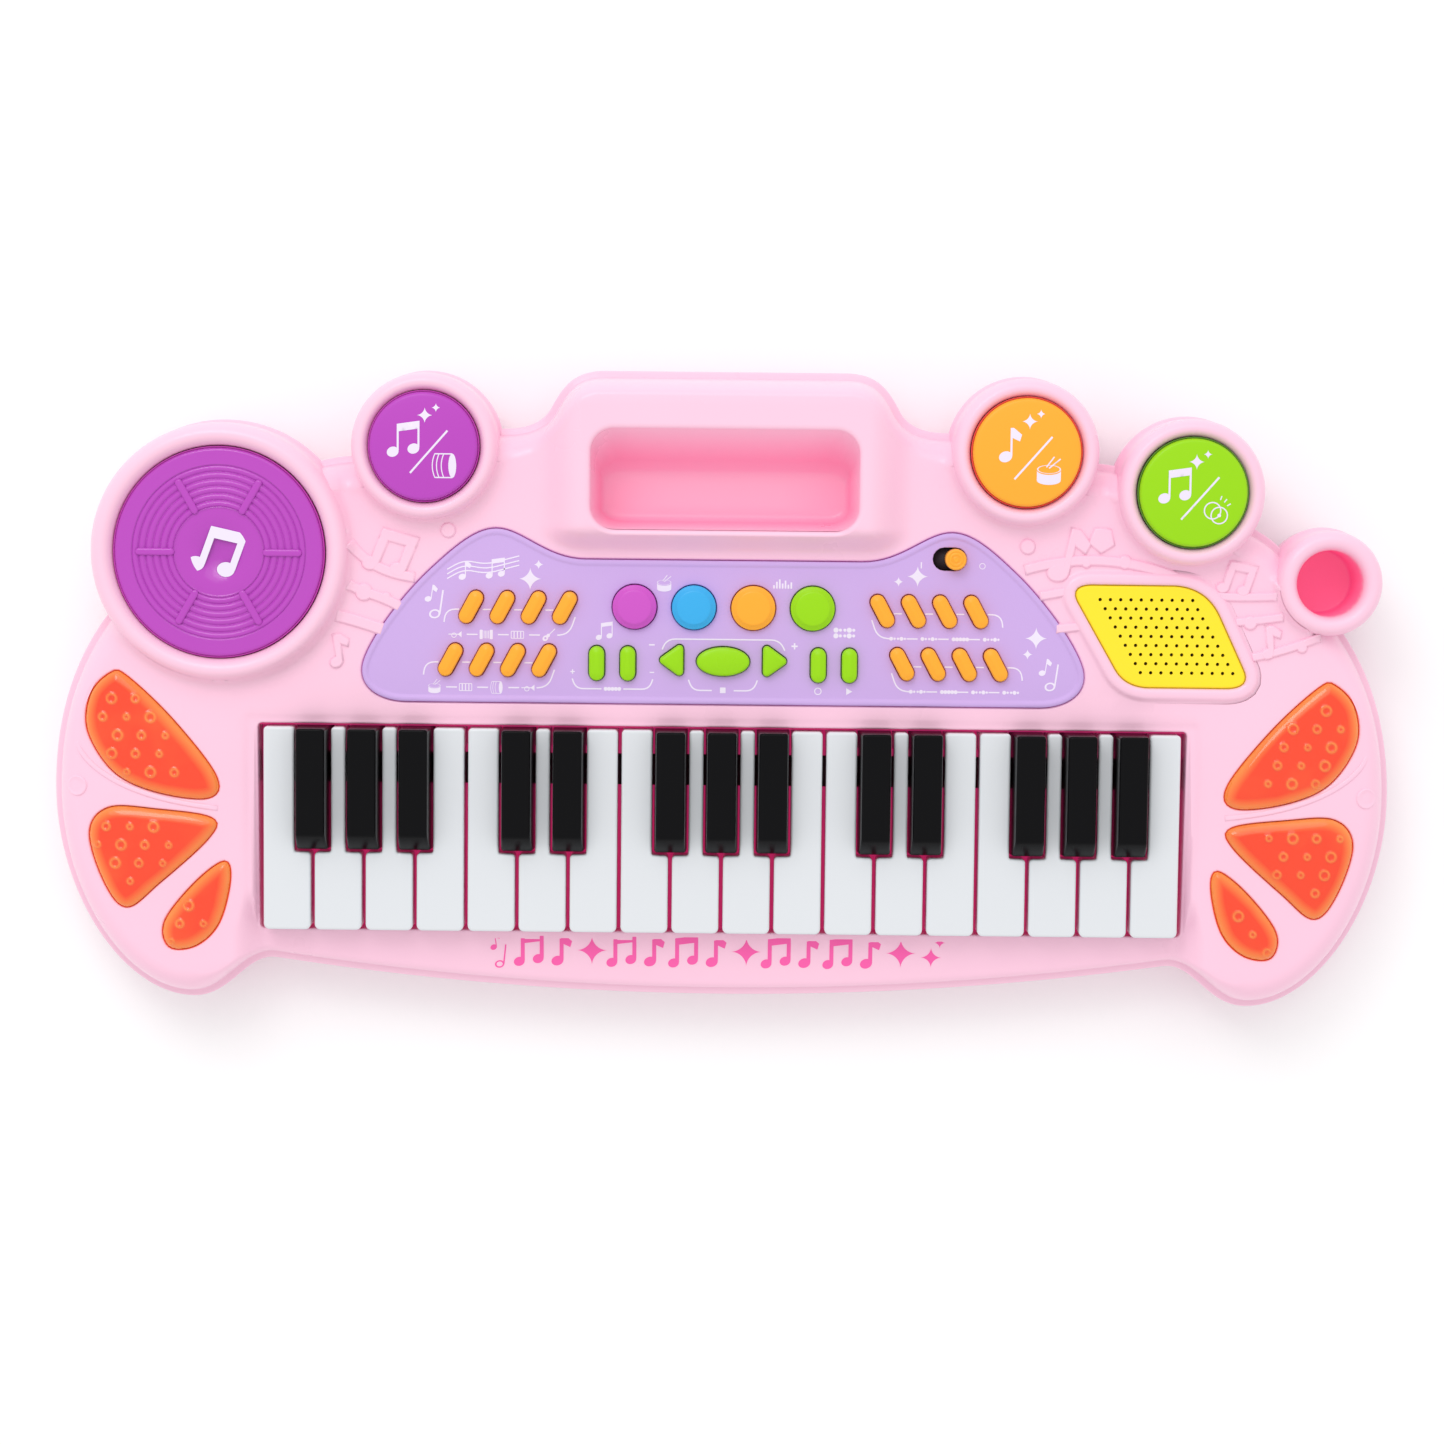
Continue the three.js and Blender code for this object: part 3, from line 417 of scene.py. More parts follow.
class Skin:
    """Points and faces of one piece, gathered from surfaces, in millimetres."""

    def __init__(self):
        self.points = []
        self.faces = []
        self.painted_shades = []
        self.count = 0

    def add(self, points, faces, painted_shade=0.0):
        """Takes in points and the faces between them, with how deep in a hollow each point is."""
        points = np.asarray(points, float).reshape(-1, 3)
        self.points.append(points)
        self.painted_shades.append(np.broadcast_to(np.asarray(painted_shade, np.float32), len(points)))
        self.faces.extend([[corner + self.count for corner in face] for face in faces])
        self.count += len(points)

    def grid(self, rows, first_cap=False, last_cap=False, hidden=None, painted_shade=0.0):
        """A surface of rows of closed rings; going up the rows on the outside, its faces point outwards."""
        rows = np.asarray(rows, float)
        height, width = rows.shape[:2]
        index = np.arange(height * width).reshape(height, width)
        here, beside = index[:-1], np.roll(index, -1, 1)[:-1]
        above, diagonal = index[1:], np.roll(index, -1, 1)[1:]
        faces = np.stack([here, beside, diagonal, above], -1).reshape(-1, 4)
        if hidden is not None:
            centres = rows.reshape(-1, 3)[faces].mean(1)[:, :2]
            faces = faces[~hidden(centres)]
        faces = faces.tolist()
        if first_cap:
            faces.append(index[0][::-1].tolist())
        if last_cap:
            faces.append(index[-1].tolist())
        self.add(rows, faces, np.repeat(painted_shade, width) if np.ndim(painted_shade) else painted_shade)

    def fill(self, loops, height, spacing, down=False):
        """The area between outlines as triangles on a height function, with inner points on a grid."""
        points, faces = filled(loops, spacing)
        if down:
            faces = [face[::-1] for face in faces]
        self.add(np.column_stack([points, height(points)]), faces)

    def to_object(self, name, material, weld=0.00001):
        """A smooth-shaded object in metres, its points closer than the weld joined."""
        points = np.concatenate(self.points) * MM
        mesh = bpy.data.meshes.new(name)
        mesh.from_pydata(points.tolist(), [], self.faces)
        # Each point's painted shade of the hollows, kept for the case's material.
        values = mesh.attributes.new("painted_shade", "FLOAT", "POINT")
        values.data.foreach_set("value", np.concatenate(self.painted_shades))
        if weld:
            merge_close(mesh, weld)
        mesh.polygons.foreach_set("use_smooth", np.ones(len(mesh.polygons), bool))
        mesh.update()
        piece = bpy.data.objects.new(name, mesh)
        bpy.context.scene.collection.objects.link(piece)
        mesh.materials.append(material)
        return piece


def merge_close(mesh, distance):
    """Joins the points of a mesh that are closer than a distance."""
    work = bmesh.new()
    work.from_mesh(mesh)
    bmesh.ops.remove_doubles(work, verts=work.verts, dist=distance)
    work.to_mesh(mesh)
    work.free()


def triangulated(loops, inner, keep):
    """Points and upward triangles between outlines, through inner points, where keep says so."""
    edges = []
    start = 0
    for loop in loops:
        edges += [(start + k, start + (k + 1) % len(loop)) for k in range(len(loop))]
        start += len(loop)
    points = [Vector(point) for point in np.concatenate([*loops, inner])]
    found, _, faces, *_ = delaunay_2d_cdt(points, edges, [], 0, 1e-6, False)
    found = np.array([tuple(point) for point in found])
    faces = np.array(faces)
    faces = faces[keep(found[faces].mean(1))]
    return found, faces.tolist()


def lattice(low, high, spacing):
    """Points of a square grid between two corners."""
    xs, ys = (np.arange(low[k], high[k], spacing) for k in (0, 1))
    return np.stack(np.meshgrid(xs, ys), -1).reshape(-1, 2)


def clear_of(loops, points, distance):
    """Those of the points that are further than a distance from every outline."""
    return points[np.min([distance_to(loop, points) for loop in loops], 0) > distance]


def filled(loops, spacing):
    """Triangles of what an odd number of outlines holds; a spacing of 0 leaves out the inner points."""
    def keep(places):
        return sum(inside(loop, places).astype(int) for loop in loops) % 2 == 1

    field = np.empty((0, 2))
    if spacing:
        points = np.concatenate(loops)
        field = lattice(points.min(0) + spacing / 2, points.max(0), spacing)
        field = clear_of(loops, field[keep(field)], 0.4 * spacing)
    return triangulated(loops, field, keep)


def lifted(loop, heights):
    """An outline at a height, or with a height for each point."""
    return np.column_stack([loop, np.broadcast_to(heights, len(loop))])


def along(loop, profile):
    """A profile of [outset, height] pairs carried round an outline: one ring for each pair."""
    return [lifted(grown(loop, outset), height) for outset, height in profile]


def draped(loop, level, profile):
    """A profile of [outset, height] pairs carried round an outline on a surface function."""
    rings = [grown(loop, outset) for outset, _ in profile]
    return [lifted(ring, level(ring) + height) for ring, (_, height) in zip(rings, profile)]


def turned(profile, centre, count=96):
    """A profile of [radius, height] pairs turned about an upright line."""
    ring = circle((0, 0), 1, count)
    return [lifted(np.array(centre) + ring * radius, height) for radius, height in profile]


def quarter(start, end, steps=5, rise_first=True):
    """A quarter ellipse between two [outset, height] points, with both ends."""
    angle = np.radians(np.linspace(0, 90, steps + 1))
    across = 1 - np.cos(angle) if rise_first else np.sin(angle)
    up = np.sin(angle) if rise_first else 1 - np.cos(angle)
    (x, y), (width, height) = start, (end[0] - start[0], end[1] - start[1])
    return [(x + width * a, y + height * u) for a, u in zip(across, up)]


def semicircle(outer, inner, low, top):
    """The rounded rim of a ring, from its outer wall over the top to its inner wall."""
    angle = np.radians(np.linspace(0, 180, 17))
    middle, half = (outer + inner) / 2, (outer - inner) / 2
    return [(middle + half * math.cos(a), low + (top - low) * math.sin(a)) for a in angle]


def lip(loop, level, radius, depth):
    """The rounded edge of an opening: rings from a surface function round and down into it."""
    surround = grown(loop, radius + 0.3)
    start = level(grown(loop, radius))
    rings = [lifted(surround, level(surround))]
    for angle in np.radians(np.linspace(0, 90, 5)):
        ring = grown(loop, radius * (1 - math.sin(angle)))
        rings.append(lifted(ring, start - radius * (1 - math.cos(angle))))
    rings.append(lifted(loop, start - depth))
    return rings


# ---- Flat shapes: each is a list of outlines, and what an odd number of them holds is filled ----


def ellipse(centre, across, up, turn=0.0, count=28):
    """An ellipse round a centre, its long side turned by some degrees."""
    return rotated(circle((0, 0), 1, count) * (across, up), turn) + centre


def rotated(points, degrees):
    """Points turned about the origin, counter-clockwise."""
    angle = math.radians(degrees)
    return points @ np.array([[math.cos(angle), math.sin(angle)], [-math.sin(angle), math.cos(angle)]])


def stroke(path, width):
    """A band of even width along a path of points, with square ends."""
    path = np.array(path, float)
    direction = np.gradient(path, axis=0)
    direction /= np.linalg.norm(direction, axis=1)[:, None]
    side = np.stack([direction[:, 1], -direction[:, 0]], 1) * width / 2
    return np.concatenate([path + side, (path - side)[::-1]])


def soft_path(corners, radius):
    """A path through corners, each inner one rounded by a quadratic curve that starts a radius before it."""
    corners = np.array(corners, float)
    path = [corners[:1]]
    for before, corner, after in zip(corners[:-2], corners[1:-1], corners[2:]):
        start = corner + (before - corner) * radius / np.linalg.norm(before - corner)
        end = corner + (after - corner) * radius / np.linalg.norm(after - corner)
        path += [quadratic(start, corner, end, 5), end[None]]
    path.append(corners[-1:])
    return np.concatenate(path)


def annulus(centre, radius, width, squash=1.0, turn=0.0):
    """A ring as two outlines: an ellipse and a smaller one in it."""
    return [ellipse(centre, radius, radius * squash, turn),
            ellipse(centre, radius - width, (radius - width) * squash, turn)]


def star():
    """A star with four points on the axes and hollow sides: each coordinate is the circle's to a power."""
    pinch = 3.4
    angle = np.linspace(0, 2 * math.pi, 48, endpoint=False)
    across, up = np.cos(angle), np.sin(angle)
    loop = np.stack([np.sign(across) * np.abs(across) ** pinch, np.sign(up) * np.abs(up) ** pinch], 1)
    return [[loop]]


def single_note(hollow=False, weight=0.06):
    """A head, a stem of the given weight, and, unless the head is hollow, a flag."""
    head = annulus((-0.12, -0.36), 0.2, 0.07, 0.8, 20) if hollow else [ellipse((-0.12, -0.36), 0.2, 0.16, 20)]
    stem = [stroke([(0.08 - weight / 2, -0.33), (0.08 - weight / 2, 0.5)], weight)]
    if hollow:
        return [head, stem]
    flag = [(0.08 - weight, 0.5), (0.08, 0.2), (0.3, 0.1), (0.36, 0.3), (0.12, 0.5)]
    return [head, stem, [np.array(flag)]]


def double_note(weight=0.06):
    """Two heads, two stems of the given weight, and the beam between them."""
    heads = [[ellipse((-0.36, -0.4), 0.18, 0.15, 20)], [ellipse((0.26, -0.3), 0.18, 0.15, 20)]]
    feet = [(-0.18 - weight / 2, -0.36), (0.44 - weight / 2, -0.26)]
    stems = [[stroke([(x, low), (x, low + 0.74)], weight)] for x, low in feet]
    beam = [np.array([(-0.18 - weight, 0.2), (0.44, 0.3), (0.44, 0.53), (-0.18 - weight, 0.43)])]
    return [*heads, *stems, beam]


def snare_drum():
    """A low drum: an elliptical rim, a curved body and two sticks."""
    rim = annulus((0, 0.1), 0.46, 0.05, 0.36)
    front = arc((0, -0.3), 1, 180, 360, 14) - (0, -0.3)
    body = np.concatenate([front * (0.46, 0.17) + (0, -0.32), (front * (0.46, 0.17) + (0, 0.06))[::-1]])
    sticks = [[stroke(path, 0.05)] for path in ([(0.0, 0.14), (0.44, 0.5)], [(-0.1, 0.18), (0.2, 0.58)])]
    return [rim, [body], *sticks]


def bass_drum():
    """A drum on its side: a face, three bent hoops and two straight edges."""
    shapes = [[ellipse((0.3, 0), 0.15, 0.46)]]
    for x in (-0.36, -0.2, -0.02):
        bend = quadratic((x, 0.46), (x - 0.2, 0), (x, -0.46), 8)
        shapes.append([stroke(np.concatenate([bend, [[x, -0.46]]]), 0.04)])
    shapes += [[stroke([(-0.36, y), (0.3, y)], 0.05)] for y in (0.45, -0.45)]
    return shapes


def cymbals():
    """Two rings that overlap, with three short rays."""
    shapes = [annulus(middle, 0.34, 0.05) for middle in ((-0.12, 0.06), (0.14, -0.12))]
    shapes.append([ellipse((0.14, -0.12), 0.07, 0.07)])
    for degrees in (30, 50, 70):
        way = np.array([math.cos(math.radians(degrees)), math.sin(math.radians(degrees))])
        shapes.append([stroke([way * 0.5, way * 0.66], 0.045)])
    return shapes


def small_keyboard():
    """A frame with three black keys."""
    rim = [rounded_rectangle(-0.5, 0.5, -0.3, 0.3, 0.08, 3),
           rounded_rectangle(-0.44, 0.44, -0.24, 0.24, 0.05, 3)]
    return [rim] + [[stroke([(x, -0.24), (x, 0.24)], 0.09)] for x in (-0.25, 0, 0.25)]


def squeeze_box():
    """Two end boards and the folds between them."""
    ends = [[rounded_rectangle(x - 0.12, x + 0.12, -0.36, 0.36, 0.05, 3)] for x in (-0.38, 0.38)]
    return ends + [[stroke([(x, -0.3), (x, 0.3)], 0.06)] for x in (-0.16, -0.05, 0.06, 0.17)]


def guitar():
    """Two ellipses for the body, with a sound hole, and a straight neck."""
    body = [ellipse((-0.24, -0.24), 0.24, 0.2, 45), ellipse((-0.24, -0.24), 0.08, 0.08)]
    return [body, [ellipse((-0.03, -0.03), 0.15, 0.13, 45)], [stroke([(0.06, 0.06), (0.5, 0.5)], 0.07)]]


def horn():
    """A bell, a straight tube and a ring."""
    bell = [np.array([(0.2, 0), (0.5, 0.24), (0.5, -0.24)])]
    return [bell, [stroke([(-0.5, 0), (0.25, 0)], 0.08)], annulus((-0.08, -0.08), 0.2, 0.06)]


def rhythm(number):
    """A row of beats, large and small ones in an order that changes with the number."""
    beats = []
    for k in range(5):
        size = 0.13 if k * (number + 1) % 3 == 0 else 0.08
        beats.append([ellipse((-0.44 + 0.22 * k, 0), size, size, 0, 12)])
    return beats


def plus():
    """Two crossing bars."""
    return [[stroke([(-0.5, 0), (0.5, 0)], 0.26)], [stroke([(0, -0.5), (0, 0.5)], 0.26)]]


def minus():
    """One bar."""
    return [[stroke([(-0.5, 0), (0.5, 0)], 0.26)]]


def arrowhead():
    """A triangle that points to the right."""
    return [[np.array([(-0.4, -0.5), (0.5, 0), (-0.4, 0.5)])]]


def placed_shapes(shapes, place, size, turn=0.0):
    """Shapes made some size, turned, and put in their place."""
    return [[rotated(loop * size, turn) + place for loop in shape] for shape in shapes]


def add_print(skin, shapes, level, spacing=0, lift=0.06):
    """Prints shapes on a surface: thin solids that stand a hair above it, with walls down into it."""
    for number, shape in enumerate(shapes):
        rise = lift + 0.004 * (number % 9)

        def top(points, rise=rise):
            return level(points) + rise

        if spacing:
            shape = [subdivided(loop, spacing) for loop in shape]
        skin.fill(shape, top, spacing)
        for k, loop in enumerate(shape):
            wall = np.stack([lifted(loop, level(loop) - 0.2), lifted(loop, top(loop))])
            skin.grid(wall if k == 0 else wall[:, ::-1])


def subdivided(loop, length):
    """The outline with every edge cut into pieces no longer than a length."""
    pieces = []
    for start, end in zip(loop, np.roll(loop, -1, 0)):
        pieces.append(straight(start, end, max(1, math.ceil(np.linalg.norm(end - start) / length))))
    return np.concatenate(pieces)


def add_emboss(skin, shapes, level, height_above, soft=0.5):
    """Raises shapes out of a surface with rounded edges, each a little more or less than the one before."""
    for number, shape in enumerate(shapes):
        rise = height_above + 0.006 * number
        wall = [(soft, -0.3), (soft * 0.45, rise * 0.35), (0, rise * 0.85), (-soft * 0.7, rise)]
        foot = [wall[0], (soft * 0.9, 0.02)]
        face = []
        for k, loop in enumerate(shape):
            rings = draped(loop, level, foot + wall[1:]) if k == 0 else draped(loop[::-1], level, wall)
            skin.grid(rings)
            face.append(rings[-1][:, :2])

        def top(points, rise=rise):
            return level(points) + rise

        skin.fill(face, top, 3.0)


# ---- Materials ----


def linear(red, green, blue):
    """A colour as the eye sees it, from 0 to 255, as light."""
    channels = np.array([red, green, blue]) / 255
    light = np.where(channels < 0.04045, channels / 12.92, ((channels + 0.055) / 1.055) ** 2.4)
    return tuple(light.tolist())


def shader_of(material):
    """The material's own surface shader."""
    return material.node_tree.nodes["Principled BSDF"]


def mixed(tree, first, second, share):
    """The colour between two colours, by the share of the second."""
    mix = tree.nodes.new("ShaderNodeMix")
    mix.data_type = "RGBA"
    mix.inputs["A"].default_value = (*first, 1)
    mix.inputs["B"].default_value = (*second, 1)
    tree.links.new(share, mix.inputs["Factor"])
    return mix


def attribute(tree, name):
    """A node that reads a value which the mesh holds for each point."""
    node = tree.nodes.new("ShaderNodeAttribute")
    node.attribute_name = name
    return node


def finish_group():
    """Moulded plastic: slow flow marks in the colour, fine grain in the height, and paler worn edges."""
    name = "Moulded Finish"
    if name in bpy.data.node_groups:
        return bpy.data.node_groups[name]
    group = bpy.data.node_groups.new(name, "ShaderNodeTree")
    for way, titles in (("INPUT", ("Color", "Roughness", "Flow", "Grain Size", "Wear")),
                        ("OUTPUT", ("Color", "Roughness", "Height"))):
        for title in titles:
            kind = "NodeSocketColor" if title == "Color" else "NodeSocketFloat"
            group.interface.new_socket(title, in_out=way, socket_type=kind)
    nodes, links = group.nodes, group.links
    given, out = nodes.new("NodeGroupInput"), nodes.new("NodeGroupOutput")
    place = nodes.new("ShaderNodeTexCoord")
    flow = noise(group, place.outputs["Object"], 9.0, 3.0)
    grain = noise(group, place.outputs["Object"], 1200.0, 2.0)
    links.new(given.outputs["Grain Size"], grain.inputs["Scale"])
    smudge = noise(group, place.outputs["Object"], 38.0, 4.0)
    shade = math_node(group, "MULTIPLY_ADD", flow.outputs["Fac"], given.outputs["Flow"], 1.0)
    half = math_node(group, "MULTIPLY", given.outputs["Flow"], 0.5)
    level = math_node(group, "SUBTRACT", shade.outputs[0], half.outputs[0])
    tint = nodes.new("ShaderNodeVectorMath")
    tint.operation = "SCALE"
    links.new(given.outputs["Color"], tint.inputs[0])
    links.new(level.outputs[0], tint.inputs["Scale"])
    geometry = nodes.new("ShaderNodeNewGeometry")
    edge = nodes.new("ShaderNodeMapRange")
    edge.inputs["From Min"].default_value = 0.53
    edge.inputs["From Max"].default_value = 0.7
    links.new(geometry.outputs["Pointiness"], edge.inputs["Value"])
    patchy = math_node(group, "MULTIPLY", edge.outputs["Result"], smudge.outputs["Fac"])
    worn = math_node(group, "MULTIPLY", patchy.outputs[0], given.outputs["Wear"])
    pale = mixed(group, (1, 1, 1), (1, 1, 1), worn.outputs[0])
    links.new(tint.outputs[0], pale.inputs["A"])
    links.new(pale.outputs["Result"], out.inputs["Color"])
    spread = math_node(group, "MULTIPLY_ADD", smudge.outputs["Fac"], 0.16, -0.08)
    rough = math_node(group, "ADD", spread.outputs[0], given.outputs["Roughness"])
    links.new(rough.outputs[0], out.inputs["Roughness"])
    links.new(grain.outputs["Fac"], out.inputs["Height"])
    return group


def noise(tree, vector, scale, detail):
    """A noise texture that follows a vector."""
    node = tree.nodes.new("ShaderNodeTexNoise")
    node.inputs["Scale"].default_value = scale
    node.inputs["Detail"].default_value = detail
    tree.links.new(vector, node.inputs["Vector"])
    return node


def math_node(tree, operation, *values):
    """A sum or product of numbers and sockets."""
    node = tree.nodes.new("ShaderNodeMath")
    node.operation = operation
    for k, value in enumerate(values):
        if isinstance(value, (int, float)):
            node.inputs[k].default_value = value
        else:
            tree.links.new(value, node.inputs[k])
    return node


def plastic(name, colour, roughness=0.3, flow=0.05, bump=0.03, wear=0.1, grain=1200.0, coat=0.0):
    """A moulded plastic with the shared finish; its colour and values are this plastic's own."""
    if name in bpy.data.materials:
        return bpy.data.materials[name]
    material = bpy.data.materials.new(name)
    material.use_nodes = True
    tree = material.node_tree
    shader = shader_of(material)
    group = tree.nodes.new("ShaderNodeGroup")
    group.name = "finish"
    group.node_tree = finish_group()
    group.inputs["Color"].default_value = (*colour, 1)
    group.inputs["Roughness"].default_value = roughness
    group.inputs["Flow"].default_value = flow
    group.inputs["Grain Size"].default_value = grain
    group.inputs["Wear"].default_value = wear
    tree.links.new(group.outputs["Color"], shader.inputs["Base Color"])
    tree.links.new(group.outputs["Roughness"], shader.inputs["Roughness"])
    raised = tree.nodes.new("ShaderNodeBump")
    raised.inputs["Strength"].default_value = bump
    raised.inputs["Distance"].default_value = 0.0004
    tree.links.new(group.outputs["Height"], raised.inputs["Height"])
    tree.links.new(raised.outputs["Normal"], shader.inputs["Normal"])
    shader.inputs["Specular IOR Level"].default_value = 0.3
    shader.inputs["Coat Weight"].default_value = coat
    shader.inputs["Coat Roughness"].default_value = 0.05
    material.diffuse_color = (*colour, 1)
    return material


def settings():
    """The colours set in the scene."""
    return bpy.context.scene.keyboard_colours


def sizes():
    """The sizes set in the scene."""
    return bpy.context.scene.keyboard_sizes


def pink():
    """The case's plastic; the tone attribute turns it towards the deeper pink that hollows show."""
    name = "Pink Case"
    if name in bpy.data.materials:
        return bpy.data.materials[name]
    material = plastic(name, settings().case, 0.3, flow=0.03, wear=0.0, coat=0.2)
    tree = material.node_tree
    share = math_node(tree, "MULTIPLY", attribute(tree, "painted_shade").outputs["Fac"], 0.5)
    body = mixed(tree, settings().case, settings().hollow, share.outputs[0])
    tree.links.new(body.outputs["Result"], tree.nodes["finish"].inputs["Color"])
    # Painted glow: the hollows' deeper pink shines a little, as bounced light.
    painted_glow = mixed(tree, (0, 0, 0), settings().hollow, share.outputs[0])
    tree.links.new(painted_glow.outputs["Result"], shader_of(material).inputs["Emission Color"])
    shader_of(material).inputs["Emission Strength"].default_value = 0.22
    return material


def lens_material():
    """Tinted clear plastic: deep orange red in the middle, paler orange along the rim."""
    name = "Amber Lens"
    if name in bpy.data.materials:
        return bpy.data.materials[name]
    material = bpy.data.materials.new(name)
    material.use_nodes = True
    tree = material.node_tree
    shader = shader_of(material)
    # Painted light: the rim attribute marks the window's edge and bubble rings, which turn paler orange.
    rim = attribute(tree, "rim")
    place = tree.nodes.new("ShaderNodeTexCoord")
    cloud = noise(tree, place.outputs["Object"], 55.0, 2.0)
    blend = math_node(tree, "MULTIPLY_ADD", cloud.outputs["Fac"], 0.5, -0.25)
    painted_glow_share = math_node(tree, "ADD", blend.outputs[0], rim.outputs["Fac"])
    painted_glow_share.use_clamp = True
    tint = mixed(tree, settings().lens, settings().lens_glow, painted_glow_share.outputs[0])
    tree.links.new(tint.outputs["Result"], shader.inputs["Base Color"])
    shader.inputs["Roughness"].default_value = 0.08
    shader.inputs["Transmission Weight"].default_value = 0.05
    shader.inputs["IOR"].default_value = 1.5
    shader.inputs["Specular IOR Level"].default_value = 0.2
    shader.inputs["Coat Weight"].default_value = 0.8
    material.diffuse_color = (*settings().lens, 1)
    return material


def white_ink():
    """The ink of the marks on the panel, pads and turntable."""
    return plastic("White Ink", linear(236, 226, 244), 0.45, flow=0.2, wear=0.0, bump=0.05)


def placed(piece, body, slot, *nodes):
    """Rides a finished piece on its body, names its finish, and lets it stand for its CAD nodes."""
    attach(piece, body)
    if nodes:
        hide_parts(*nodes)
    return piece


# ---- Case ----


def under_towers(points):
    """Whether each point lies well inside a ring's wall, where the deck's edge can't be seen."""
    gaps = [np.linalg.norm(points - place, axis=1) - radius for place, radius in TOWERS]
    return np.min(gaps, 0) < -3


def build_case_top():
    """The deck with its rolled edge and the rounded lips of its openings, as one welded surface."""
    outline = case_outline()
    skin = Skin()
    roll = roll_size(outline)
    inner = grown(outline, -FLANGE_WIDTH - roll)
    rise = deck_height(inner) - ROLL_START
    edge = [(-6, UPPER_START), (-0.5, UPPER_START), (0, UPPER_START + 0.5), (0, FLANGE_TOP - 0.6),
            (-0.5, FLANGE_TOP - 0.1), (-2.0, FLANGE_TOP), (-FLANGE_WIDTH, FLANGE_TOP + 0.4)]
    rows = along(outline, edge)
    for angle in np.radians(np.linspace(0, 90, 11)):
        ring = grown(outline, -FLANGE_WIDTH - roll * (1 - math.cos(angle)))
        rows.append(lifted(ring, ROLL_START + rise * math.sin(angle)))
    skin.grid(rows, hidden=under_towers)
    windows = light_windows()
    panel, slot = panel_outline(), slot_outline()
    openings = [(panel, 0.3, 0.8, 4.0), (slot, 0.0, 0.7, 12.0), (pocket_mouth(), 0.0, 1.8, 2.6)]
    openings += [(window, 0.3, 0.7, 4.0) for window in windows + [flipped(window) for window in windows]]
    lips = [lip(grown(loop, gap), deck_height, radius, depth) for loop, gap, radius, depth in openings]
    for rings in lips:
        skin.grid(rings)
    grille = grille_outline()
    rim = [(5.6, 0), (4.9, 0.25), (4.3, 0.9), (3.8, 1.4), (3.1, 1.7), (1.6, 1.7), (0.8, 1.5), (0.35, 0.9),
           (0.3, -4)]
    skin.grid(along(grille, [(outset, DECK + height) for outset, height in rim]))
    tower_loops = [circle(place, radius - 0.4, 90) for place, radius in TOWERS]
    holes = [rings[0][:, :2] for rings in lips] + [grown(grille, rim[0][0])] + tower_loops

    def on_deck(places):
        kept = inside(inner, places)
        for hole in holes:
            kept &= ~inside(hole, places)
        return kept

    points, faces = triangulated([inner] + holes, feature_points(on_deck, holes + [inner]), on_deck)
    skin.add(lifted(points, deck_height(points)), faces)
    piece = skin.to_object("case_top", pink(), 0.00002)
    return placed(piece, CASE, "case_pink", "top_shell")


def feature_points(keep, loops):
    """Points to triangulate the deck through: close together where its height bends, far apart elsewhere."""
    chosen = []
    corner = np.array([HALF_WIDTH, HALF_DEPTH])
    for spacing, bent in ((5.0, False), (1.1, True)):
        field = lattice(-corner, corner, spacing)
        bend = sum(np.abs(deck_height(field + step) + deck_height(field - step) - 2 * deck_height(field))
                   for step in np.array([(0.7, 0), (0, 0.7)]))
        field = field[(bend > 0.01) == bent]
        chosen.append(clear_of(loops, field[keep(field)], 0.35 * spacing))
    return np.concatenate(chosen)


def flange(outer, step):
    """The thin flange at the parting line, as [outset or radius, height] pairs up to the wall above it."""
    return [(outer - 6, UPPER_START), (outer - 0.5, UPPER_START), (outer, UPPER_START + 0.5),
            (outer, FLANGE_TOP - 0.6), (outer - 0.3, FLANGE_TOP - 0.1), (outer - step, FLANGE_TOP + 0.3)]


def build_rings():
    """The turntable ring, the three pad rings and the microphone holder: turned profiles."""
    skin = Skin()
    well = TURNTABLE_RADIUS + 0.6
    rim = semicircle(TURNTABLE_RING - 1, well, *TURNTABLE_RIM)
    seat = [(well, 38.9), (well - 0.4, 38.5), (5.0, 38.5), (4.4, 38.0), (4.4, 35.0)]
    skin.grid(turned(flange(TURNTABLE_RING, 1.0) + rim + seat, TURNTABLE, 128))
    hole = PAD_RADIUS + 0.35
    rim = semicircle(PAD_RING - 0.9, hole, *PAD_RIM)
    for place in PAD_PLACES:
        skin.grid(turned(flange(PAD_RING, 0.9) + rim + [(hole, 36.0)], place))
    rim = semicircle(MIC_RING - 0.8, MIC_BORE, *MIC_RIM)
    skin.grid(turned(flange(MIC_RING, 0.8) + rim, MIC, 80))
    bore = [(MIC_BORE, MIC_RIM[0]), (MIC_BORE, 35.0), (MIC_BORE, MIC_FLOOR + 1.2),
            (MIC_BORE - 0.4, MIC_FLOOR + 0.3), (MIC_BORE - 1.2, MIC_FLOOR)]
    # Painted shade: the bore turns a deeper pink towards its floor.
    skin.grid(turned(bore, MIC, 80), last_cap=True, painted_shade=[0.6, 1.3, 1.8, 1.8, 1.8])
    piece = skin.to_object("case_rings", pink())
    return placed(piece, CASE, "case_pink")


def pocket_ring(loop, height):
    """The pocket's outline at a height: it narrows and moves forwards towards the floor."""
    rise = np.clip((height - PARTING) / (POCKET["mouth"] - PARTING), 0, 1) ** 0.8
    scale = POCKET["floor_share"] + (1 - POCKET["floor_share"]) * rise
    centre = np.array(POCKET["centre"])
    return lifted((loop - centre) * scale + centre + (0, -POCKET["floor_shift"] * (1 - rise)), height)


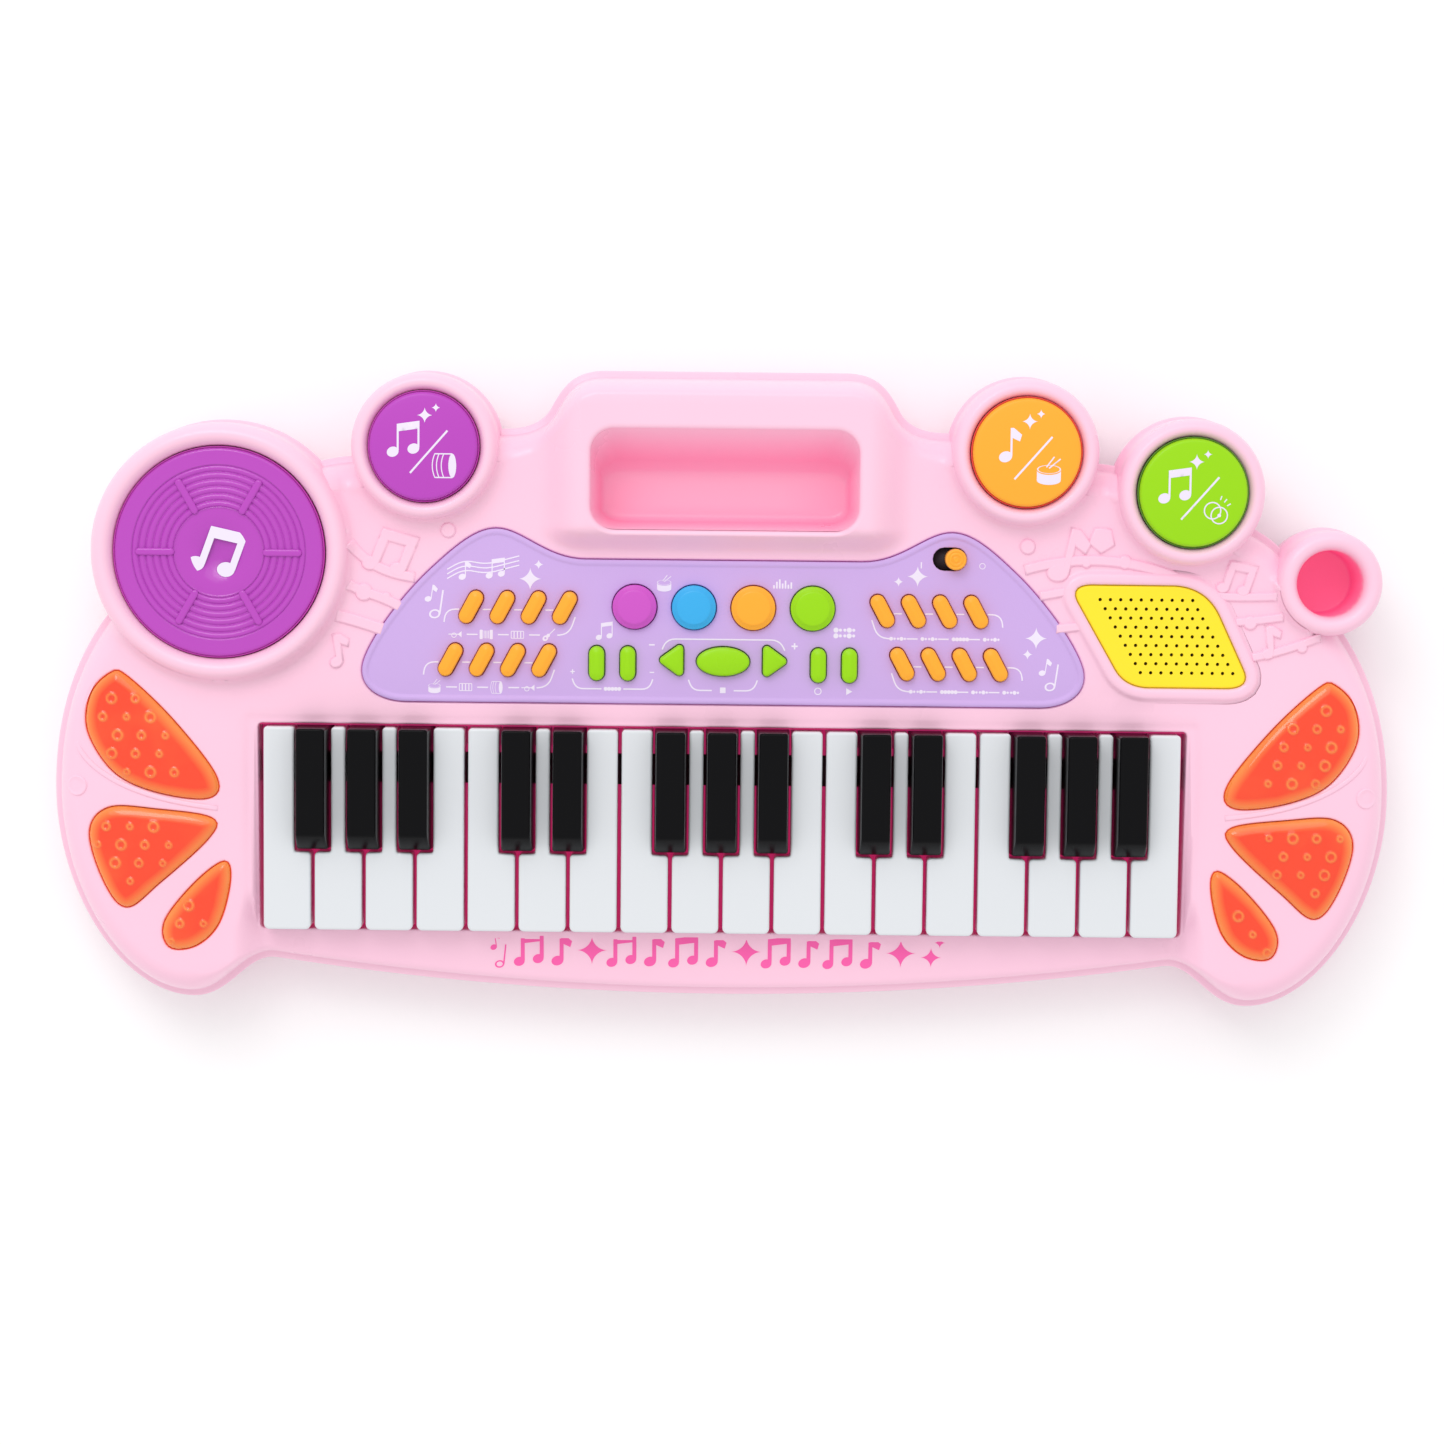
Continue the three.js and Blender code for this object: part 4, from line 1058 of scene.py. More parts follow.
def pocket_mouth():
    """The pocket's opening: a rectangle with round corners."""
    half, corner = np.array(POCKET["half"]), POCKET["corner"]
    right, back = half - corner
    return resampled(mirrored(
        straight((0, -half[1]), (right, -half[1]), 8),
        arc((right, -back), corner, -90, 0, 10)[:-1],
        straight((half[0], -back), (half[0], back), 6),
        arc((right, back), corner, 0, 90, 10)[:-1],
        straight((right, half[1]), (0, half[1]), 8),
        np.array([[0, half[1]]]),
    ), 180) + POCKET["centre"]


def build_pocket():
    """The finger pocket: its mouth's outline narrowing down to a floor with rounded edges."""
    mouth = pocket_mouth()
    skin = Skin()
    rows = [pocket_ring(mouth, height) for height in np.linspace(POCKET["mouth"], PARTING + 2.2, 16)]
    rows += [lifted(grown(pocket_ring(mouth, PARTING)[:, :2], outset), PARTING + rise)
             for outset, rise in ((-0.2, 1.2), (-0.9, 0.4), (-2.2, 0))]
    base = rows[-1][:, :2]
    rows += [lifted(base.mean(0) + (base - base.mean(0)) * share, PARTING) for share in (0.85, 0.7, 0.5)]
    # Painted shade: the walls turn a deeper pink towards the bottom, the floor a little less.
    painted_shades = np.concatenate([np.linspace(0, 0.9, 16), np.linspace(0.8, 0.45, 6)])
    skin.grid(rows, last_cap=True, painted_shade=painted_shades)
    return placed(skin.to_object("handle_pocket", pink()), CASE, "case_pink")


def bottom_wall(loop, drop):
    """From the flat bottom round the rolled edge and up to the parting line, with a narrow rim inwards."""
    profile = quarter((-BOTTOM_ROLL, FOOT_HEIGHT + drop), (0, FOOT_HEIGHT + 10), 8, rise_first=False)
    return along(grown(loop, -1), profile + [(0, LOWER_END - 0.4), (-0.4, LOWER_END), (-6, LOWER_END)])


def under_bore(points):
    """Whether each point lies where the microphone's bore goes down through the wall."""
    return np.linalg.norm(points - MIC, axis=1) < MIC_BORE + 1.5


def build_case_bottom():
    """The bottom shell: rolled walls round every region, and a flat floor with its wells and openings."""
    skin = Skin()
    outline = case_outline()
    skin.grid(bottom_wall(outline, 0), hidden=under_bore)
    rings = [(TURNTABLE, TURNTABLE_RING, 0.25), (MIC, MIC_RING, 0.45)]
    rings += [(place, PAD_RING, 0.35) for place in PAD_PLACES]
    for place, radius, drop in rings:
        skin.grid(bottom_wall(circle(place, radius, 96), drop), first_cap=True)
    recess = rounded_rectangle(-46.5, 46.5, 55.5, 83.5, 3)
    door = rounded_rectangle(-BATTERY["half"], BATTERY["half"], BATTERY["front"], BATTERY["back"], 2)
    hollows = [(door, BATTERY["roof"]), (recess, PARTING - 3)]
    hollows += [(circle(place, 3.4, 24), 9.0) for place in SCREWS]
    base = grown(outline, -BOTTOM_ROLL - 1)
    skin.fill([base] + [loop for loop, _ in hollows], flat(FOOT_HEIGHT), 0, down=True)
    for loop, roof in hollows:
        skin.grid([lifted(loop, roof), lifted(loop, FOOT_HEIGHT)], first_cap=True)
    piece = skin.to_object("case_bottom", pink())
    placed(piece, CASE, "case_pink", "bottom_shell")
    feet = Skin()
    for place in FEET:
        feet.grid(turned([(6.6, 0), (7.4, 0.15), (8, 0.7), (8.2, 2.2)], place, 40), first_cap=True)
    placed(feet.to_object("feet", pink()), CASE, "case_pink")


def build_screws():
    """Pan-head screws in their wells, each with a cross recess."""
    steel = plastic("Screw Steel", linear(150, 152, 156), 0.32, wear=0.2, bump=0.1)
    shader_of(steel).inputs["Metallic"].default_value = 1
    head = [(0.5, 6.4), (1.4, 6.5), (2.2, 6.9), (2.8, 7.8), (2.9, 9.2)]
    skin = Skin()
    for place in SCREWS:
        skin.grid(turned(head, place, 24), first_cap=True)
    placed(skin.to_object("case_screws", steel), CASE, "speaker_metal")
    # Painted shade: near-black solids fill the cross recesses for the shade in them.
    dark = plastic("Recess Black", linear(30, 30, 32), 0.6)
    recess = Skin()
    for place in SCREWS:
        for turn in (0, 90):
            loop = capsule(place, 2.6, 0.6, turn, 3)
            recess.grid([lifted(loop, 6.33 + turn * 0.0002), lifted(loop, 6.8)], first_cap=True)
    placed(recess.to_object("screw_recesses", dark), CASE, "speaker_metal")


# ---- Keys ----


def white_keys():
    """The nodes of the white keys, from left to right."""
    return [f"white_key_{k:02d}" for k in range(1, 19)]


def black_keys():
    """The nodes of the black keys, from left to right."""
    return [f"black_key_{k:02d}" for k in range(1, 14)]


def key_plan(node):
    """A white key's outline from the top, notched where a black key's slot cuts into it."""
    low, high = box_mm(node)
    left, right = low[0], high[0]
    rear_left, rear_right = left, right
    clearance = 0.65
    notch_end = box_mm("black_key_01")[0][1] - 0.6
    for black in black_keys():
        black_low, black_high = box_mm(black)
        if black_low[0] < left < black_high[0]:
            rear_left = black_high[0] + clearance
        if black_low[0] < right < black_high[0]:
            rear_right = black_low[0] - clearance
    corner, rear_corner, shoulder, notch = 2.0, 1.3, 1.3, 0.8
    stretches = [arc((left + corner, low[1] + corner), corner, 180, 270, 6),
                 arc((right - corner, low[1] + corner), corner, 270, 360, 6)]
    if rear_right < right:
        stretches.append(arc((right - shoulder, notch_end - shoulder), shoulder, 0, 90, 4))
        stretches.append(arc((rear_right + notch, notch_end + notch), notch, 270, 180, 4))
    stretches.append(arc((rear_right - rear_corner, KEY_REAR - rear_corner), rear_corner, 0, 90, 4))
    stretches.append(arc((rear_left + rear_corner, KEY_REAR - rear_corner), rear_corner, 90, 180, 4))
    if rear_left > left:
        stretches.append(arc((rear_left - notch, notch_end + notch), notch, 0, -90, 4))
        stretches.append(arc((left + shoulder, notch_end - shoulder), shoulder, 90, 180, 4))
    return np.concatenate(stretches), (rear_left, rear_right)


def add_tongue(skin, x_low, x_high):
    """The key's tongue, which reaches under the deck to its hinge."""
    front, rear, low, high = -20.8, -3.4, 21.3, 26.8
    loop = rounded_rectangle(x_low + 0.1, x_high - 0.1, front, rear, 0.6, 2)
    skin.grid([lifted(loop, low), lifted(loop, high)], True, True)
    web = rounded_rectangle(x_low + 0.1, x_high - 0.1, front, KEY_REAR - 0.1, 0.6, 2)
    skin.grid([lifted(web, high - 0.5), lifted(web, KEY_BOTTOM + 0.6)], True, True)


def build_white_keys():
    """White keys: a notched plan with straight walls and softly rounded top edges."""
    material = plastic("White Key", settings().white_key, 0.22, flow=0.02, wear=0.0, coat=0.3)
    round_size = sizes().key_round / MM
    for node in white_keys():
        loop, rear = key_plan(node)
        loop = supported(loop)
        profile = [(-0.3, KEY_BOTTOM), (0, KEY_BOTTOM + 0.3)]
        profile += quarter((0, KEY_TOP - round_size), (-round_size, KEY_TOP), 5)
        profile.append((-round_size - 0.25, KEY_TOP))
        skin = Skin()
        skin.grid(along(loop, profile), first_cap=True, last_cap=True)
        add_tongue(skin, *rear)
        piece = skin.to_object(node + "_cap", material)
        placed(piece, node, "key_white", node)


def build_black_keys():
    """Black keys: rounded blocks that narrow upwards, with a sloping front face; each level of the
    block is its height, half its width and where its front is."""
    material = plastic("Black Key", settings().black_key, 0.24, flow=0.1, wear=0.0, bump=0.02)
    shader_of(material).inputs["Specular IOR Level"].default_value = 0.08
    for node in black_keys():
        low, high = box_mm(node)
        middle = (low[0] + high[0]) / 2
        top = high[2]
        levels = [(30.0, 5.45, low[1] + 0.3), (30.4, 5.75, low[1]), (38.0, 5.55, low[1] + 0.35),
                  (40.2, 5.45, low[1] + 0.6), (41.4, 5.38, low[1] + 1.1), (46.4, 5.1, low[1] + 4.6),
                  (47.6, 4.95, low[1] + 5.7), (48.2, 4.65, low[1] + 6.4), (top, 4.1, low[1] + 7.2),
                  (top, 3.8, low[1] + 7.5)]
        rows = []
        for height, half, front in levels:
            rear = KEY_REAR - (4.6 - half if height == top else 0)
            loop = supported(rounded_rectangle(middle - half, middle + half, front, rear, 0.9, 5))
            rows.append(lifted(loop, height))
        skin = Skin()
        skin.grid(rows, first_cap=True, last_cap=True)
        add_tongue(skin, low[0], high[0])
        placed(skin.to_object(node + "_cap", material), node, "key_black", node)


def build_key_bed():
    """What shows between the keys: the inside of the shell, and the rubber contact strip."""
    skin = Skin()
    half = SLOT["half"]
    bed = rounded_rectangle(-half - 0.6, half + 0.6, SLOT["front"] - 0.6, SLOT["rear"] + 0.6, 2)
    skin.grid([lifted(bed, 17.0), lifted(bed, 20.2)], True, True)
    # Painted shade and glow: a deep crimson that shines faintly, for light through the thin pink plastic.
    painted_glow = plastic("Key Bed Pink", linear(214, 60, 122), 0.5)
    shader_of(painted_glow).inputs["Emission Color"].default_value = (*linear(214, 50, 118), 1)
    shader_of(painted_glow).inputs["Emission Strength"].default_value = 0.4
    # Painted shade: the crimson sill along the slot's rear edge.
    sill = rounded_rectangle(-half, half, KEY_REAR + 0.25, SLOT["rear"] - 0.05, 0.3, 2)
    skin.grid([lifted(sill, 28.5), lifted(sill, 34.0)], True, True)
    placed(skin.to_object("key_bed", painted_glow), CASE, "case_pink")
    rubber = plastic("Contact Rubber", linear(26, 24, 26), 0.7, bump=0.2)
    strip = Skin()
    loop = rounded_rectangle(-half + 0.5, half - 0.5, -34.5, -23.5, 1)
    strip.grid([lifted(loop, 20.1), lifted(loop, 20.5), lifted(grown(loop, -0.4), 20.9)], True, True)
    placed(strip.to_object("contact_strips", rubber), CASE, "circuit_board")


# ---- Panel and buttons ----

def strip_centres(side, row):
    """The centres of the four caps of one row."""
    first, y = STRIP_ROWS[row]
    return [(side * (first + STRIP["spacing"] * k), y) for k in range(4)]


def strip_caps(side, row):
    """The outlines of the four caps of one row."""
    lean = -side * STRIP["lean"]
    return [capsule(centre, STRIP["length"], STRIP["width"], lean) for centre in strip_centres(side, row)]


def arrow_outline(side):
    """A triangle with round corners, its tip away from the middle."""
    corner = 1.4
    base, tip, half, y = 13.8, 23.4, 5.3, centre_mm("volume_up_button")[1]
    slope = math.degrees(math.atan2(half, tip - base))
    loop = np.concatenate([
        arc((tip - 2 * corner, y), corner, slope - 90, 90 - slope, 6),
        arc((base + corner, y + half - corner), corner, 90 - slope, 180, 6),
        arc((base + corner, y - half + corner), corner, 180, 270 + slope, 6),
    ])
    return loop if side > 0 else flipped(loop)


def stop_outline():
    """An ellipse."""
    centre = centre_mm("stop_button")[:2]
    return circle((0, 0), 1, 48) * (9.2, 5.0) + centre


def button_outlines():
    """The outline of every single-cap button, by node."""
    loops = {f"drum_button_{k + 1}": circle(place, DRUM_RADIUS, 48) for k, place in enumerate(DRUMS)}
    loops.update({name: capsule(place, *OVAL_SIZE) for name, place in OVALS.items()})
    loops["volume_up_button"] = arrow_outline(1)
    loops["volume_down_button"] = arrow_outline(-1)
    loops["stop_button"] = stop_outline()
    return loops


def build_panel():
    """The lavender panel: a bevelled pale rim, and a flat face with a rounded edge at each opening."""
    outline = panel_outline()
    skin = Skin()
    rim = [(-1.0, 36.0), (-0.1, 36.1), (0, 36.4), (0, PANEL_TOP - 0.1), (-0.3, PANEL_TOP + 0.2),
           (-1.5, PANEL_TOP + 0.15), (-1.9, PANEL_TOP - 0.1), (-2.3, PANEL_FACE), (-2.6, PANEL_FACE)]
    skin.grid(along(outline, rim))
    holes = list(button_outlines().values())
    for side in (-1, 1):
        for row in STRIP_ROWS:
            holes += strip_caps(side, row)
    holes = [grown(loop, 0.3) for loop in holes]
    holes.append(capsule(SWITCH["centre"], SWITCH["length"], SWITCH["width"], 90))
    for loop in holes:
        skin.grid(lip(loop, flat(PANEL_FACE), 0.3, 2.2))
    skin.fill([grown(outline, -2.6)] + [grown(loop, 0.6) for loop in holes], flat(PANEL_FACE), 0)
    material = plastic("Lavender Panel", settings().panel, 0.42, flow=0.03, wear=0.0, bump=0.08, grain=2600.0)
    placed(skin.to_object("panel_plate", material), CASE, "panel_lavender", "control_panel")
    # Painted shade: a dark purple sheet under the panel, which shows dark in the gaps round the caps.
    shade = plastic("Panel Underlay", linear(70, 45, 90), 0.7)
    shade_sheet = Skin()
    loop = grown(outline, -4.2)
    shade_sheet.grid([lifted(loop, 34.3), lifted(loop, 34.9)], False, True)
    return placed(shade_sheet.to_object("panel_shade", shade), CASE, "panel_lavender")


def cap_rows(loop, top):
    """A button cap: straight wall, rounded rim, and a flat face."""
    profile = [(0, CAP_BASE)] + quarter((0, top - 1.2), (-1, top - 0.2), 5) + [(-1.25, top - 0.1)]
    return along(loop, profile)


def drum_rows(centre, top):
    """A round drum button: straight wall, bevelled rim, and a face that rises a little to its middle."""
    edge = DRUM_RADIUS
    profile = [(edge, CAP_BASE)] + quarter((edge, top - 2.1), (edge - 0.6, top - 1.5), 4)
    profile += [(edge - 1.7, top - 0.35), (edge - 2.0, top - 0.2), (edge - 2.3, top - 0.15)]
    return turned(profile + [(3.0, top - 0.05), (1.5, top)], centre, 56)


def capsule_cap(skin, centre, length, width, lean, top):
    """A slot-shaped cap whose rings shrink towards its middle line."""
    rings = []
    profile = [(0, CAP_BASE)] + quarter((0, top - 1.3), (0.9, top - 0.45), 5)
    for inset, height in profile + [(1.6, top - 0.15), (2.2, top)]:
        loop = capsule(centre, length - 2 * inset, max(width - 2 * inset, 0.3), lean)
        rings.append(lifted(loop, height))
    skin.grid(rings, True, True)


def cap_material(slot):
    """The plastic of a cap, by its material slot in the record."""
    colours = settings()
    table = {"cap_orange": ("Orange Cap", colours.orange), "cap_green": ("Green Cap", colours.green),
             "cap_blue": ("Blue Cap", colours.blue), "cap_magenta": ("Magenta Cap", colours.magenta),
             "cap_purple": ("Purple Cap", colours.purple)}
    name, colour = table[slot]
    return plastic(name, colour, 0.3, flow=0.05, wear=0.05)


def slot_of(node):
    """The record's material slot of a CAD node."""
    return next(part["material_slot"] for part in frame["record"]["subparts"] if part["node"] == node)


def build_buttons():
    """Every cap on the panel: drums, ovals, arrows, the stop ellipse and the slanted rows."""
    for node, loop in button_outlines().items():
        skin = Skin()
        top = box_mm(node)[1][2]
        if node in OVALS:
            capsule_cap(skin, OVALS[node], *OVAL_SIZE, 0, top)
        elif node.startswith("drum_button"):
            skin.grid(drum_rows(DRUMS[int(node[-1]) - 1], top), True, True)
        else:
            skin.grid(cap_rows(loop, top), True, True)
        slot = slot_of(node)
        placed(skin.to_object(node + "_cap", cap_material(slot)), node, slot, node)
    for side, side_name in ((-1, "left"), (1, "right")):
        for row, (_, y) in STRIP_ROWS.items():
            build_strip(f"button_strip_{side_name}_{row}", side, row, y)


def build_strip(node, side, row, y):
    """One row of four slanted caps on its bar."""
    skin = Skin()
    low, high = box_mm(node)
    for centre in strip_centres(side, row):
        capsule_cap(skin, centre, STRIP["length"], STRIP["width"], -side * STRIP["lean"], high[2])
    bar = rounded_rectangle(low[0] + 3, high[0] - 3, y - 2.8, y + 2.8, 1)
    skin.grid([lifted(bar, CAP_BASE - 0.1), lifted(bar, CAP_BASE + 1)], True, True)
    placed(skin.to_object(node + "_caps", cap_material("cap_orange")), node, "cap_orange", node)


def build_switch():
    """The power switch's knob with a ribbed top, and the dark slot that it slides in."""
    skin = Skin()
    radius = SWITCH["radius"]
    top = box_mm("power_switch")[1][2]
    shares = (0.78, 0.7, 0.6, 0.5, 0.4, 0.3, 0.2, 0.1)
    ripple = [(radius * share, top - 0.35 - 0.3 * math.cos(share * 18)) for share in shares]
    profile = [(radius, 33.5), (radius, top - 1.0), (radius - 0.25, top - 0.5), (radius - 0.6, top - 0.3)]
    skin.grid(turned(profile + ripple, SWITCH["knob"], 48), True, True)
    material = plastic("Switch Orange", settings().orange, 0.35, wear=0.1)
    placed(skin.to_object("power_knob", material), "power_switch", "cap_orange", "power_switch")
    dark = plastic("Switch Slot", linear(38, 20, 28), 0.6)
    bed = Skin()
    loop = capsule(SWITCH["centre"], SWITCH["length"] + 1, SWITCH["width"] + 1, 90)
    bed.grid([lifted(loop, 34.95), lifted(loop, 35.3)], False, True)
    placed(bed.to_object("switch_slot_floor", dark), CASE, "panel_lavender")


# ---- Pads and turntable ----


def pad_dome(radius):
    """Height of a drum pad's face: it falls from the middle by a power of the distance."""
    return PAD_TOP - PAD_CROWN * (radius / PAD_RADIUS) ** 2.4


def build_pads():
    """Drum pads: a straight wall, a rounded rim and a domed face."""
    for node, place in zip(PAD_NAMES, PAD_PLACES):
        skin = Skin()
        face = [(r, pad_dome(r)) for r in (16.6, 15.0, 12.0, 8.0, 4.0, 1.0)]
        rim = quarter((PAD_RADIUS, 45.4), (17.4, pad_dome(17.4)), 6)
        skin.grid(turned([(PAD_RADIUS, 38.0)] + rim + face, place, 96), True, True)
        slot = slot_of(node)
        placed(skin.to_object(node + "_cap", cap_material(slot)), node, slot, node)


def disc_level(radius):
    """Height of the turntable's face: a flat band, fine concentric grooves, and a dish in the middle."""
    start, end = DISC["groove_start"], DISC["groove_end"]
    wave = np.abs(np.sin((radius - start) * math.pi / DISC["groove_pitch"])) ** 0.6
    grooves = (radius > start) & (radius < end)
    level = np.where(grooves, DISC["groove_low"] + 0.85 * wave, DISC["top"])
    dish = 42.1 - 1.2 * np.cos(np.clip(radius / 13.5, 0, 1) * math.pi)
    return np.where(radius < start, dish, level)


def build_turntable():
    """The disc and its six raised bars."""
    skin = Skin()
    edge, top = TURNTABLE_RADIUS, DISC["top"]
    profile = [(edge - 0.4, 39.0), (edge, 39.4)] + quarter((edge, top - 1), (edge - 1.2, top), 6)
    grooves = np.linspace(DISC["groove_end"], DISC["groove_start"], 90)
    radii = np.concatenate([np.linspace(34, 30.6, 4), grooves, np.linspace(15.2, 0.6, 30)])
    profile += list(zip(radii, disc_level(radii)))
    skin.grid(turned(profile, TURNTABLE, 128), True, True)
    for degrees in range(0, 360, 60):
        centre = TURNTABLE + rotated(np.array([22.0, 0]), degrees)
        rings = []
        for inset, height in [(0, top - 1)] + quarter((0, top), (0.8, top + 0.75), 4):
            rings.append(lifted(capsule(centre, 13.6 - 2 * inset, 2.6 - 2 * inset, 90 - degrees), height))
        skin.grid(rings, True, True)
    material = plastic("Turntable Purple", settings().purple, 0.16, flow=0.06, wear=0.05, coat=0.3)
    placed(skin.to_object("turntable_disc", material), "turntable", "cap_purple", "turntable")


# ---- Grille and lenses ----


def grille_places():
    """The centres of the grille's holes: each row starts a little further right than the one behind it."""
    x, y = GRILLE_HOLES["corner"]
    across, lean, down = (GRILLE_HOLES[key] for key in ("across", "lean", "down"))
    return [(x + across * column + lean * row, y - down * row)
            for row in range(GRILLE_HOLES["rows"]) for column in range(GRILLE_HOLES["columns"])]


def build_grille():
    """The yellow grille: slanting rows of real holes in a plate with a rounded rim, and the cloth below."""
    outline = grille_outline()
    skin = Skin()
    face = GRILLE_TOP
    skin.grid(along(outline, [(0, 34.0)] + quarter((0, face - 0.8), (-0.8, face), 5) + [(-1.1, face)]))
    holes = [circle(place, GRILLE_HOLES["radius"], 12) for place in grille_places()]
    skin.fill([grown(outline, -1.1), *holes], flat(face), 0)
    for hole in holes:
        skin.grid([lifted(hole, face - 0.02), lifted(hole, face - 1.6)])
    material = plastic("Yellow Grille", settings().yellow, 0.36, flow=0.03, wear=0.0, coat=0.1)
    placed(skin.to_object("grille_plate", material), CASE, "grille_yellow", "speaker_grille")
    # Painted shade: a dark olive sheet for the shade behind the holes.
    mesh = plastic("Speaker Cloth", linear(60, 52, 20), 0.9, bump=0.3)
    hole_shade = Skin()
    loop = grown(outline, -1)
    hole_shade.grid([lifted(loop, face - 2.4), lifted(loop, face - 1.8)], True, True)
    placed(hole_shade.to_object("grille_hole_shade", mesh), CASE, "speaker_metal")


def bubble_places(loop, side):
    """Ring bubbles on a skewed lattice, on the part of a window that faces the case's end."""
    low, high = loop.min(0), loop.max(0)
    middle, width = (low[0] + high[0]) / 2, high[0] - low[0]
    start, across, lean, up = (BUBBLES[key] for key in ("start", "across", "lean", "up"))
    places = []
    for row in range(8):
        for column in range(8):
            spot = low + start + (across * column + lean * (row % 3), up * row)
            size = BUBBLES["radius"] + BUBBLES["growth"] * ((row + 2 * column) % 3)
            outward = side * (spot[0] - middle) > -0.2 * width
            if outward and inside(loop, spot[None])[0] and distance_to(loop, spot[None])[0] > size + 1.3:
                places.append((spot, size))
    return places


def bubble_rings(points, bubbles):
    """How much each point lies on a bubble's ring: a bell curve across the ring."""
    strength = np.zeros(len(points))
    for spot, size in bubbles:
        away = np.linalg.norm(points - spot, axis=1)
        strength = np.maximum(strength, np.exp(-(((away - size) / 0.42) ** 2)))
    return strength


def build_lenses():
    """The orange windows: plates whose edge is a quarter ellipse, with small ring-shaped bubbles."""
    for side, node in ((1, "light_lens_right"), (-1, "light_lens_left")):
        skin = Skin()
        painted_glows = []
        for loop in light_windows():
            loop = loop if side > 0 else flipped(loop)
            bubbles = bubble_places(loop, side)

            def level(points, loop=loop, bubbles=bubbles):
                gap = np.minimum(distance_to(loop, points), 6.0) / 6.0
                height = deck_height(points) - 0.6 + 2.6 * np.sqrt(np.clip(1 - (1 - gap) ** 2, 0, 1))
                return height + 0.55 * bubble_rings(points, bubbles)

            points, faces = filled([loop], 0.5)
            skin.add(lifted(points, level(points)), faces)
            # Painted glow and glints: paler orange along the edge and on the bubble rings, kept as the rim
            # attribute.
            edge = 1 - np.minimum(distance_to(loop, points), 4.0) / 4.0
            painted_glows.append(np.maximum(edge, 0.85 * bubble_rings(points, bubbles)))
            skin.grid([lifted(loop, 33.5), lifted(loop, level(loop))], first_cap=True)
            painted_glows.append(np.ones(2 * len(loop)))
        piece = skin.to_object(node + "_windows", lens_material(), 0)
        values = piece.data.attributes.new("rim", "FLOAT", "POINT")
        values.data.foreach_set("value", np.concatenate(painted_glows).astype(np.float32))
        merge_close(piece.data, 0.00001)
        piece.data.polygons.foreach_set("use_smooth", np.ones(len(piece.data.polygons), bool))
        placed(piece, CASE, "lens_amber", node)


# ---- Painted shade in the gaps ----


def add_shade_collar(skin, loop, top):
    """A thin collar round a cap or plate, low in the gap between it and its opening."""
    reach = 0.55
    profile = [(reach, top - 2), (reach, top), (0.08, top), (0.08, top - 2), (reach, top - 2)]
    skin.grid(along(loop, profile))


def build_shade_collars():
    """Collars in the gaps round caps, pads, panel, grille and windows, tinted like the shade in them."""
    loops = [(slot_of(node), loop, PANEL_TOP - 1.6) for node, loop in button_outlines().items()]
    for side in (-1, 1):
        for row in STRIP_ROWS:
            loops += [("cap_orange", loop, PANEL_TOP - 1.6) for loop in strip_caps(side, row)]
    for name, place in zip(PAD_NAMES, PAD_PLACES):
        loops.append((slot_of(name), circle(place, PAD_RADIUS, 96), 45.2))
    loops.append(("cap_purple", circle(TURNTABLE, TURNTABLE_RADIUS, 128), 42.7))
    loops.append(("panel_lavender", panel_outline(), DECK - 0.8))
    loops.append(("grille_yellow", grille_outline(), DECK + 0.4))
    for window in light_windows():
        loops += [("lens_amber", window, DECK - 0.1), ("lens_amber", flipped(window), DECK - 0.1)]
    shades = {"cap_orange": (232, 62, 52), "cap_green": (84, 132, 16), "cap_blue": (28, 104, 168),
              "cap_magenta": (158, 36, 140), "cap_purple": (190, 48, 170), "panel_lavender": (200, 96, 176),
              "grille_yellow": (206, 170, 40), "lens_amber": (244, 72, 32)}
    for slot, shade in shades.items():
        skin = Skin()
        for kind, loop, top in loops:
            if kind == slot:
                add_shade_collar(skin, loop, top)
        material = plastic(f"Liner {slot}", linear(*shade), 0.6)
        placed(skin.to_object(f"shade_collar_{slot}", material), CASE, "case_pink")


def build_inner_parts():
    """Finishes for the parts that keep their own shape: battery door, speaker and circuit board."""
    board = plastic("Circuit Board", linear(30, 96, 62), 0.45, flow=0.2, bump=0.2, grain=900.0)
    metal = plastic("Speaker Metal", linear(120, 122, 126), 0.4, flow=0.1, wear=0.2, bump=0.2)
    for node, material in (("battery_door", pink()), ("speaker", metal), ("main_board", board)):
        piece = bpy.data.objects[node]
        for slot in piece.material_slots:
            slot.material = material


# ---- Prints and raised ornaments ----


def stave(path, width=3.0):
    """A line of a stave: a band of even width along a cubic curve."""
    return [stroke(np.concatenate([bezier(*path, 18), np.array(path[-1:])]), width)]


def dot(x, y, radius):
    """A round dot."""
    return [circle((x, y), radius, 28)]


